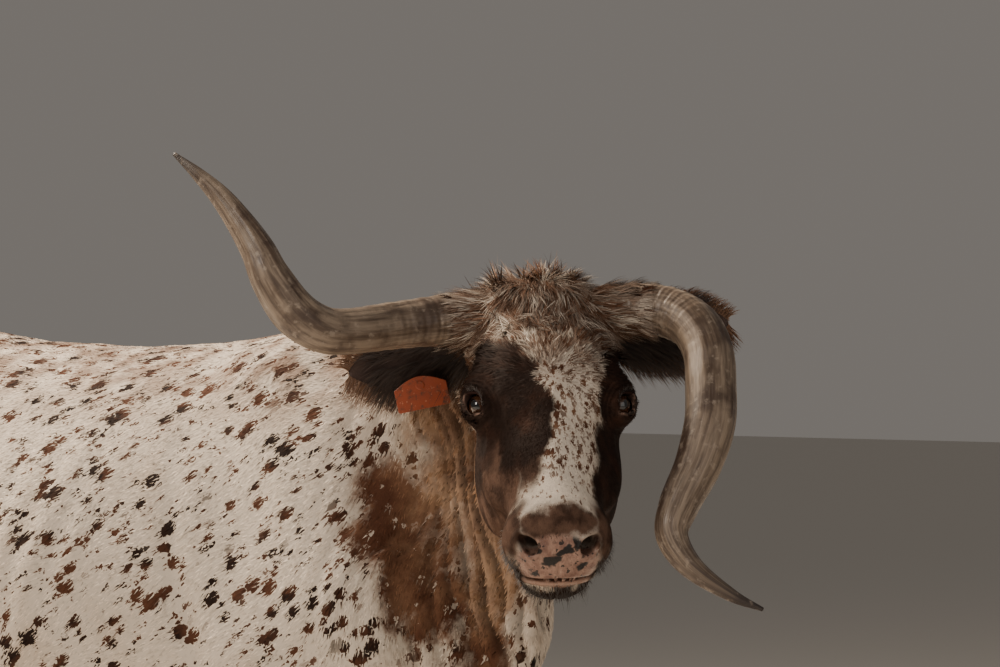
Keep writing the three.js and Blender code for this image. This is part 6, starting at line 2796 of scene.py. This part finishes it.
@dataclass(frozen=True)
class Eyes:
    """The two eyeballs and their lashes."""

    bulge: float = 1.7
    rings: int = 48
    sides: int = 64
    lash_count: int = 150

    def build(self, finishes: Finishes) -> None:
        """Makes both eyes."""
        for name, socket in SOCKETS.items():
            self.ball(name, socket, finishes)
            self.lashes(name, socket, finishes)

    def ball(self, name: str, socket: EyeSocket, finishes: Finishes) -> None:
        """Makes one eyeball with the bulge of its cornea.

        Args:
            name: right or left.
            socket: where the eye sits.
            finishes: every material.
        """
        angle = np.linspace(0.004, math.pi - 0.004, self.rings)
        turn = np.linspace(0, 2 * math.pi, self.sides, endpoint=False)
        grid_angle, grid_turn = np.meshgrid(angle, turn, indexing="ij")
        ways = np.stack(
            [
                np.sin(grid_angle) * np.cos(grid_turn),
                np.sin(grid_angle) * np.sin(grid_turn),
                np.cos(grid_angle),
            ],
            axis=-1,
        ).reshape(-1, 3)
        radius = socket.ball - 0.3 + self.bulge * ramp(0.72, 0.15, grid_angle).reshape(-1) - self.bulge
        points = socket.centre() + (ways * radius[:, None]) @ socket.axes().T
        faces = tube_faces(self.rings, self.sides, False)
        if socket.side > 0:
            faces = faces[:, ::-1]
        replaced = (f"eye_{name}",)
        piece = mesh_object(f"eyeball_{name}", points, faces, finishes.eye, replaced)
        add_attribute(piece, "gaze", ways)

    def lashes(self, name: str, socket: EyeSocket, finishes: Finishes) -> None:
        """Makes the lashes along the upper and lower lid.

        Args:
            name: right or left.
            socket: where the eye sits.
            finishes: every material.
        """
        draw = np.random.default_rng(81)
        nose = draw.uniform(-0.86, 0.8, self.lash_count) * socket.length / 2
        upper = draw.random(self.lash_count) < 0.75
        rim = socket.height / 2 * (1 - np.square(nose / (socket.length / 2)))
        brow = np.where(upper, rim * 1.12 + 1.4, -rim * 0.9 - 1.2)
        forward = np.sqrt(np.maximum(socket.lid**2 - nose**2 - brow**2, 40)) + 0.4
        axes = socket.axes()
        roots = socket.centre() + np.stack([nose, brow, forward], axis=1) @ axes.T
        way = np.where(upper, 1.0, -1.0)
        lies = np.stack([nose * 0.02, way * 0.55, np.full(self.lash_count, 0.8)], axis=1) @ axes.T
        normals = np.stack([nose * 0, -way * 0.8, np.full(self.lash_count, 0.55)], axis=1) @ axes.T
        long, short = draw.uniform(12, 19, self.lash_count), draw.uniform(6, 9, self.lash_count)
        length = np.where(upper, long, short)
        Strands(
            roots,
            unit(normals),
            unit(lies + draw.normal(scale=0.12, size=lies.shape)),
            length,
            np.full(self.lash_count, 0.75),
            length * 0.2,
            rows=4,
        ).build(f"lashes_{name}", finishes.whisker, Slot.LONG_HAIR, 320)


@dataclass(frozen=True)
class Hooves:
    """The eight claws and eight dewclaws."""

    sole_length: float = 122
    sole_width: float = 49
    sole_ahead: float = 16
    top_length: float = 95
    top_width: float = 45
    top_height: float = 72
    slope: float = math.tan(math.radians(14))
    cleft: float = 2.5
    rows: int = 26
    sides: int = 40
    spur_radius: float = 12.5
    spur_root: tuple[float, float, float] = (16.8, 14, 138)
    spur_tip: tuple[float, float, float] = (21, 53, 112)
    spur_rows: int = 12
    spur_sides: int = 20

    def build(self, finishes: Finishes) -> None:
        """Makes the claws and dewclaws of every leg."""
        for leg_name, leg in LEGS.items():
            joints = leg.joints()
            for place, way in (("outer", leg.side), ("inner", -leg.side)):
                self.claw(f"{leg_name}_{place}", joints[-1].at, way, finishes)
                self.dewclaw(f"{leg_name}_{place}", joints[-3].at, way, finishes)

    def claw(self, name: str, foot: Array, way: int, finishes: Finishes) -> None:
        """Makes one claw: a flat inner wall, a rounded outer one and a lipped top.

        Args:
            name: which leg and which side of it.
            foot: the last joint of the leg.
            way: -1 or 1, the side of the cleft that it is on.
            finishes: every material.
        """
        outer = np.linspace(-math.pi / 2, math.pi / 2, self.sides)
        inner = np.linspace(math.pi / 2, -math.pi / 2, 16)[1:-1]
        rings = []
        for level in np.linspace(0, 1, self.rows):
            length = blend_values(self.sole_length, self.top_length, level)
            width = blend_values(self.sole_width, self.top_width, level) + 2 * math.sin(math.pi * level)
            ahead = self.sole_ahead * (1 - level)
            shrink = 1.2 * math.sin(level * 40) * 0.25 + (1.8 if level > 0.93 else 0.0)
            forward = ahead + (length / 2 - shrink) * np.concatenate([np.sin(outer), np.sin(inner)])
            bulge = np.concatenate([(width - shrink) * np.cos(outer) ** 0.7, 0.8 * np.cos(inner)])
            top = self.top_height - 0.6 + self.slope * forward
            points = np.stack(
                [foot[0] + way * (self.cleft + bulge), foot[1] - forward, top * level], axis=1
            )
            rings.append(points)
        middles = [rings[0].mean(axis=0), rings[-1].mean(axis=0)]
        points = np.vstack([*rings, *middles])
        faces = tube_faces(self.rows, len(rings[0]), True)
        if way > 0:
            faces = faces[:, ::-1]
        mesh_object(f"claw_{name}", points, faces, finishes.hoof, (f"hoof_{name}",))

    def dewclaw(self, name: str, fetlock: Array, way: int, finishes: Finishes) -> None:
        """Makes one dewclaw: a short blunt cone behind the fetlock.

        Args:
            name: which leg and which side of it.
            fetlock: the fetlock's joint.
            way: -1 or 1, the side that it is on.
            finishes: every material.
        """
        root, tip = (
            vec(fetlock[0] + way * beside, fetlock[1] + behind, height)
            for beside, behind, height in (self.spur_root, self.spur_tip)
        )
        axis = unit(tip - root)
        first = unit(np.cross(axis, LEFTWARDS))
        second = np.cross(axis, first)
        turn = np.linspace(0, 2 * math.pi, self.spur_sides, endpoint=False)
        points = []
        for t in np.linspace(0, 1, self.spur_rows):
            rounding = math.sqrt(max(1 - max(t - 0.75, 0) ** 2 * 15, 0.02))
            radius = self.spur_radius * (1 - 0.42 * t) * rounding
            centre = root + (tip - root) * t
            around = np.outer(np.cos(turn), first) + np.outer(np.sin(turn), second)
            points.append(centre + radius * around)
        flat = np.concatenate(points)
        faces = tube_faces(self.spur_rows, self.spur_sides, False)
        mesh_object(f"spur_{name}", flat, faces, finishes.hoof, (f"dewclaw_{name}",))


@dataclass(frozen=True)
class Switch:
    """The long hair at the end of the tail."""

    count: int = 5200
    tip_height: float = 292
    tip_scatter: float = 26
    core: tuple[tuple[float, float, float], ...] = (
        (848, 640, 14),
        (849, 570, 17),
        (852, 490, 15),
        (852, 420, 6),
    )

    def build(self, finishes: Finishes) -> None:
        """Makes the switch as strands that hang from the tail's end.

        Args:
            finishes: every material.
        """
        draw = np.random.default_rng(91)
        t = draw.random(self.count) ** 1.2
        line = flowing_line([vec(0, y, z) for y, z, _ in self.core], t)
        radius = np.interp(t, np.linspace(0, 1, len(self.core)), [row[2] for row in self.core])
        turn = draw.uniform(0, 2 * math.pi, self.count)
        normals = np.stack([np.cos(turn), np.sin(turn), np.zeros(self.count)], axis=1)
        roots = line + normals * radius[:, None]
        tips = draw.normal(self.tip_height, self.tip_scatter, self.count)
        clump = np.stack([ripple(normals * 60 + roots * 0.2, 50, seed) for seed in (92, 93)], axis=1)
        lies = np.stack([clump[:, 0] * 0.07, clump[:, 1] * 0.07, -np.ones(self.count)], axis=1)
        length = np.maximum(roots[:, 2] - np.clip(tips, 264, 360), 60)
        length *= draw.uniform(0.8, 1.0, self.count)
        Strands(
            roots,
            normals,
            unit(lies),
            length,
            draw.uniform(1.2, 2.2, self.count),
            draw.uniform(10, 34, self.count),
            rows=7,
            tip_lift=-0.1,
        ).build("switch_hair", finishes.switch, Slot.LONG_HAIR, 330, ("tail_switch",))


@dataclass(frozen=True)
class Muzzle:
    """The whiskers and the black bristles round the mouth."""

    count: int = 1500

    def build(self, surface: Surface, finishes: Finishes) -> None:
        """Makes the bristles on the lips, chin and sides of the muzzle.

        Args:
            surface: the skin.
            finishes: every material.
        """
        draw = np.random.default_rng(95)
        middles = surface.points[surface.faces].mean(axis=1)
        local = in_head(middles)
        height = HEAD.mouth_height(local)
        lower = (height < -19) & (height > -46)
        sides = (height > 4) & (height < 40) & (np.abs(local[:, 0]) > 50)
        near = (local[:, 1] > 420) & (local[:, 1] < 570) & (np.abs(local[:, 0]) < 110)
        chance = surface.areas() * (near & (lower | sides))
        chosen = draw.choice(len(chance), self.count, p=chance / chance.sum())
        roots, at = middles[chosen], local[chosen]
        normals = unit(surface.normals[surface.faces[chosen]].mean(axis=1))
        fall = ALONG * 0.25 - OUT * 0.75
        lies = unit(normals * 0.55 + fall + draw.normal(scale=0.22, size=normals.shape))
        length = draw.uniform(4, 10, self.count) + 14 * (draw.random(self.count) < 0.06)
        width = np.where(length > 12, 0.5, 0.8)
        Strands(roots, normals, lies, length, width, length * 0.25, rows=3, sag=0.08).build(
            "muzzle_bristles", finishes.whisker, Slot.LONG_HAIR, 340
        )


@dataclass(frozen=True)
class EarTag:
    """The tag in the right ear: a plate with rounded edges, a button and a pin."""

    across: float = -168
    ahead: float = -52
    up: float = -160
    width: float = 74
    height: float = 46
    thickness: float = 2.4
    button: float = 6.6
    pin: float = 4.0
    back: float = 11.0
    turn: float = math.radians(12)

    def build(self, finishes: Finishes) -> None:
        """Makes the tag as one mesh of three joined solids.

        Args:
            finishes: every material.
        """
        centre = beside_poll(self.across, self.ahead, self.up)
        cos, sin = math.cos(self.turn), math.sin(self.turn)
        down = -UP * cos + np.cross(AHEAD, -UP) * sin
        sideways = -np.cross(down, AHEAD)
        rise = -down
        half, tall = self.width / 2, self.height / 2
        outline = [(-half, -tall), (half, -tall), (half, tall * 0.4)]
        steps = np.linspace(0, 1, 9)[1:]
        for s in steps:
            before, between = (1 - s) ** 2, 2 * s * (1 - s)
            outline.append((half * (before + 0.4 * between), tall * (0.4 * before + between + s * s)))
        outline += [(-u, v) for u, v in outline[3:-1][::-1]] + [(-half, tall * 0.4)]
        rounded = self.rounded_corners(np.array(outline), 3.2)
        rings = [(0.6, -0.5), (0.0, -0.28), (0.0, 0.28), (0.6, 0.5)]
        parts = [self.plate(rounded, rings, self.thickness)]
        lifted = np.array([0, tall * 0.45])
        button = [(0.8, 0.0), (0.0, 0.3), (0.0, 0.7), (1.4, 1.0)]
        parts.append(self.plate(self.disc(self.button) + lifted, button, 2.6))
        parts.append(self.plate(self.disc(self.pin) + lifted, [(0, -10.5), (0, 0)], self.thickness))
        back = [(1.0, -10.8), (0, -10.4), (0, -9.9), (1.0, -9.6)]
        parts.append(self.plate(self.disc(self.back) + lifted, back, self.thickness))
        points, faces, start = [], [], 0
        for flat, triangles in parts:
            points.append(centre + flat[:, :1] * sideways + flat[:, 1:2] * rise + flat[:, 2:] * AHEAD)
            faces.append(triangles + start)
            start += len(flat)
        flat, joined = np.concatenate(points), np.concatenate(faces)
        piece = mesh_object("orange_ear_tag", flat, joined, finishes.tag, ("ear_tag",))
        piece.data.shade_flat()

    def disc(self, radius: float) -> Array:
        """Returns a round outline."""
        turn = np.linspace(0, 2 * math.pi, 28, endpoint=False)
        return np.stack([np.cos(turn), np.sin(turn)], axis=1) * radius

    def rounded_corners(self, outline: Array, radius: float) -> Array:
        """Rounds the two square corners of the plate's lower edge.

        Args:
            outline: the plate's edge.
            radius: the corners' radius.

        Returns:
            The edge with round corners.
        """
        result = []
        for corner in outline:
            if corner[1] > -self.height / 2 + 0.1:
                result.append(corner)
                continue
            sign = np.sign(corner[0])
            middle = corner + np.array([-sign * radius, radius])
            first = -math.pi / 2 if sign > 0 else math.pi
            turns = np.linspace(first, first + math.pi / 2, 5)
            result += [middle + radius * np.array([math.cos(a), math.sin(a)]) for a in turns]
        return np.array(result)

    def plate(
        self, outline: Array, rings: Sequence[tuple[float, float]], depth: float
    ) -> tuple[Array, Array]:
        """Makes a closed plate through rings of the outline.

        Args:
            outline: the plate's edge, in mm.
            rings: for each ring how far it is drawn in and its place in the depth.
            depth: what the places are parts of.

        Returns:
            Its points and triangles.
        """
        middle = outline.mean(axis=0)
        rows = []
        for inset, level in rings:
            away = outline - middle
            reach = np.linalg.norm(away, axis=1, keepdims=True)
            drawn = middle + away * (1 - inset / np.maximum(reach, 1))
            rows.append(np.column_stack([drawn, np.full(len(outline), level * depth)]))
        ends = [[*middle, rings[0][1] * depth], [*middle, rings[-1][1] * depth]]
        return np.vstack([*rows, ends]), tube_faces(len(rings), len(outline), True)


@dataclass(frozen=True)
class Lamp:
    """A soft light.

    Attributes:
        name: what it is called.
        offset: its place rightward, forward and up from the cow's middle, in metres.
        size: the side of its square, in metres.
        power: its power in watts.
        tint: its colour.
    """

    name: str
    offset: tuple[float, float, float]
    size: float
    power: float
    tint: tuple[float, float, float]


@dataclass(frozen=True)
class Studio:
    """The floor, the lights and the camera."""

    camera_at: tuple[float, float, float] = (-6068, -5873, 1350)
    camera_turn: float = math.radians(-50)
    camera_drop: float = math.radians(0.65)
    lens: float = 200
    sensor: float = 36
    floor_size: float = 60
    middle: tuple[float, float, float] = (0, -500, 1050)
    lamps: tuple[Lamp, ...] = (
        Lamp("key", (-3.4, 2.1, 3.6), 1.6, 760, (1.0, 0.86, 0.70)),
        Lamp("fill", (2.6, -4.4, 1.4), 4.0, 40, (1.0, 0.95, 0.9)),
        Lamp("front", (-3.4, -4.4, 2.8), 2.2, 150, (1.0, 0.92, 0.84)),
    )
    air: tuple[float, ...] = colour(0.72, 0.66, 0.60)
    air_strength: float = 0.25
    floor_tone: tuple[float, ...] = colour(0.62, 0.59, 0.55)

    def build(self) -> None:
        """Makes the whole studio."""
        self.floor()
        self.camera()
        for lamp in self.lamps:
            self.light(lamp)
        world = bpy.data.worlds.new("studio_air")
        bpy.context.scene.world = world
        world.use_nodes = True
        background = world.node_tree.nodes["Background"]
        background.inputs[0].default_value = self.air
        background.inputs[1].default_value = self.air_strength

    def ways(self) -> tuple[Array, Array]:
        """Returns the camera's rightward and forward directions on the floor."""
        turn = self.camera_turn
        return vec(math.cos(turn), math.sin(turn), 0), vec(-math.sin(turn), math.cos(turn), 0)

    def camera(self) -> None:
        """Makes the camera at the photograph's viewing angle."""
        data = bpy.data.cameras.new("camera")
        data.lens = self.lens
        data.sensor_width = self.sensor
        data.clip_end = 200
        camera = bpy.data.objects.new("camera", data)
        camera.location = Vector((vec(*self.camera_at) + SHIFT) * METRE)
        camera.rotation_euler = (math.pi / 2 - self.camera_drop, 0, self.camera_turn)
        bpy.context.scene.collection.objects.link(camera)
        bpy.context.scene.camera = camera

    def light(self, lamp: Lamp) -> None:
        """Makes one soft light that points at the cow's middle.

        Args:
            lamp: which light.
        """
        data = bpy.data.lights.new(lamp.name, "AREA")
        data.size = lamp.size
        data.energy = lamp.power
        data.color = lamp.tint
        light = bpy.data.objects.new(lamp.name, data)
        right, forward = self.ways()
        rightward, ahead, up = lamp.offset
        aim = Vector((vec(*self.middle) + SHIFT) * METRE)
        light.location = aim + Vector(right * rightward + forward * ahead + UP * up)
        light.rotation_euler = (aim - light.location).to_track_quat("-Z", "Y").to_euler()
        bpy.context.scene.collection.objects.link(light)

    def floor(self) -> None:
        """Makes the plain pale floor."""
        half = self.floor_size / 2
        mesh = bpy.data.meshes.new("floor")
        corners = [(-half, -half, 0), (half, -half, 0), (half, half, 0), (-half, half, 0)]
        mesh.from_pydata(corners, [], [(0, 1, 2, 3)])
        floor = bpy.data.objects.new("floor", mesh)
        material = bpy.data.materials.new("pale_floor")
        material.use_nodes = True
        shader = material.node_tree.nodes["Principled BSDF"]
        shader.inputs["Base Color"].default_value = self.floor_tone
        shader.inputs["Roughness"].default_value = 0.8
        mesh.materials.append(material)
        bpy.context.scene.collection.objects.link(floor)


EARS = (
    Ear("right", (-84, -62, -92), (-268, -92, -134)),
    Ear("left", (84, -52, -88), (262, -66, -62)),
)
SHIFT = frame_shift()


def recess_shade_mask(surface: Surface) -> Array:
    """Gives 1 deep in the nostrils, mouth and eye openings, where the skin gets painted shade, and 0
    elsewhere.

    Args:
        surface: the skin.

    Returns:
        One value per vertex.
    """
    local = in_head(surface.points)
    mask = ramp(2.0, -2.0, HEAD.nostril(local)) * (np.abs(local[:, 1] - 466) < 60)
    height = np.abs(HEAD.mouth_height(local))
    mouth = ramp(5.0, 2.2, height) * (local[:, 1] > HEAD.mouth_corner) * (np.abs(local[:, 0]) < 90)
    bone = np.minimum(HEAD.skull().measure(surface.points), HEAD.jaw().measure(surface.points))
    mouth = mouth * ramp(-3, -8, bone)
    for socket in SOCKETS.values():
        at = socket.local(surface.points)
        near = (np.linalg.norm(at, axis=1) < 30) & (at[:, 2] > -4)
        mask = np.maximum(mask, ramp(4.6, 2.6, socket.opening(at)) * near)
    return np.maximum(mask, mouth)


def lid_rims(points: Array) -> Array:
    """Gives 1 on the pale rims of the lower lids and the inner corners of the eyes.

    Args:
        points: places in mm.

    Returns:
        One value per place.
    """
    mask = np.zeros(len(points))
    for socket in SOCKETS.values():
        at = socket.local(points)
        near = (np.linalg.norm(at, axis=1) < 31) & (at[:, 2] > -4)
        lower = ramp(3.5, -1.0, at[:, 1])
        corner = bell(np.linalg.norm(at - vec(*socket.corner), axis=1), 5.5)
        rim = bell(socket.opening(at) - 2.4, 2.0) * lower
        mask = np.maximum(mask, np.maximum(rim, corner) * near)
    return mask


def main() -> None:
    """Builds the cow, piece by piece, and its studio."""
    logging.basicConfig(level=logging.INFO, format="%(name)s: %(message)s")
    Studio().build()
    finishes = Finishes()
    surface = skin_surface()
    skin = mesh_object("skin", surface.points, surface.faces, finishes.skin, SKIN_NODES)
    # Painted shade deep in the nostrils, mouth and eye openings.
    add_attribute(skin, "inside", recess_shade_mask(surface))
    add_attribute(skin, "rim", lid_rims(surface.points))
    # Painted shade in the grooves between the neck pleats, taken off the skin's even shade.
    add_attribute(skin, "shade", SKIN_SHADE - neck_pleats(surface.points) * GROOVE_SHADE)
    measure = Body().field()
    Coat().build(surface, finishes)
    CrownHair().build(measure, finishes)
    Muzzle().build(surface, finishes)
    Eyes().build(finishes)
    for horn in HORNS.values():
        horn.build(finishes)
    for ear in EARS:
        ear.build(finishes)
    EarTag().build(finishes)
    Hooves().build(finishes)
    Switch().build(finishes)


if __name__ == "__main__":
    main()
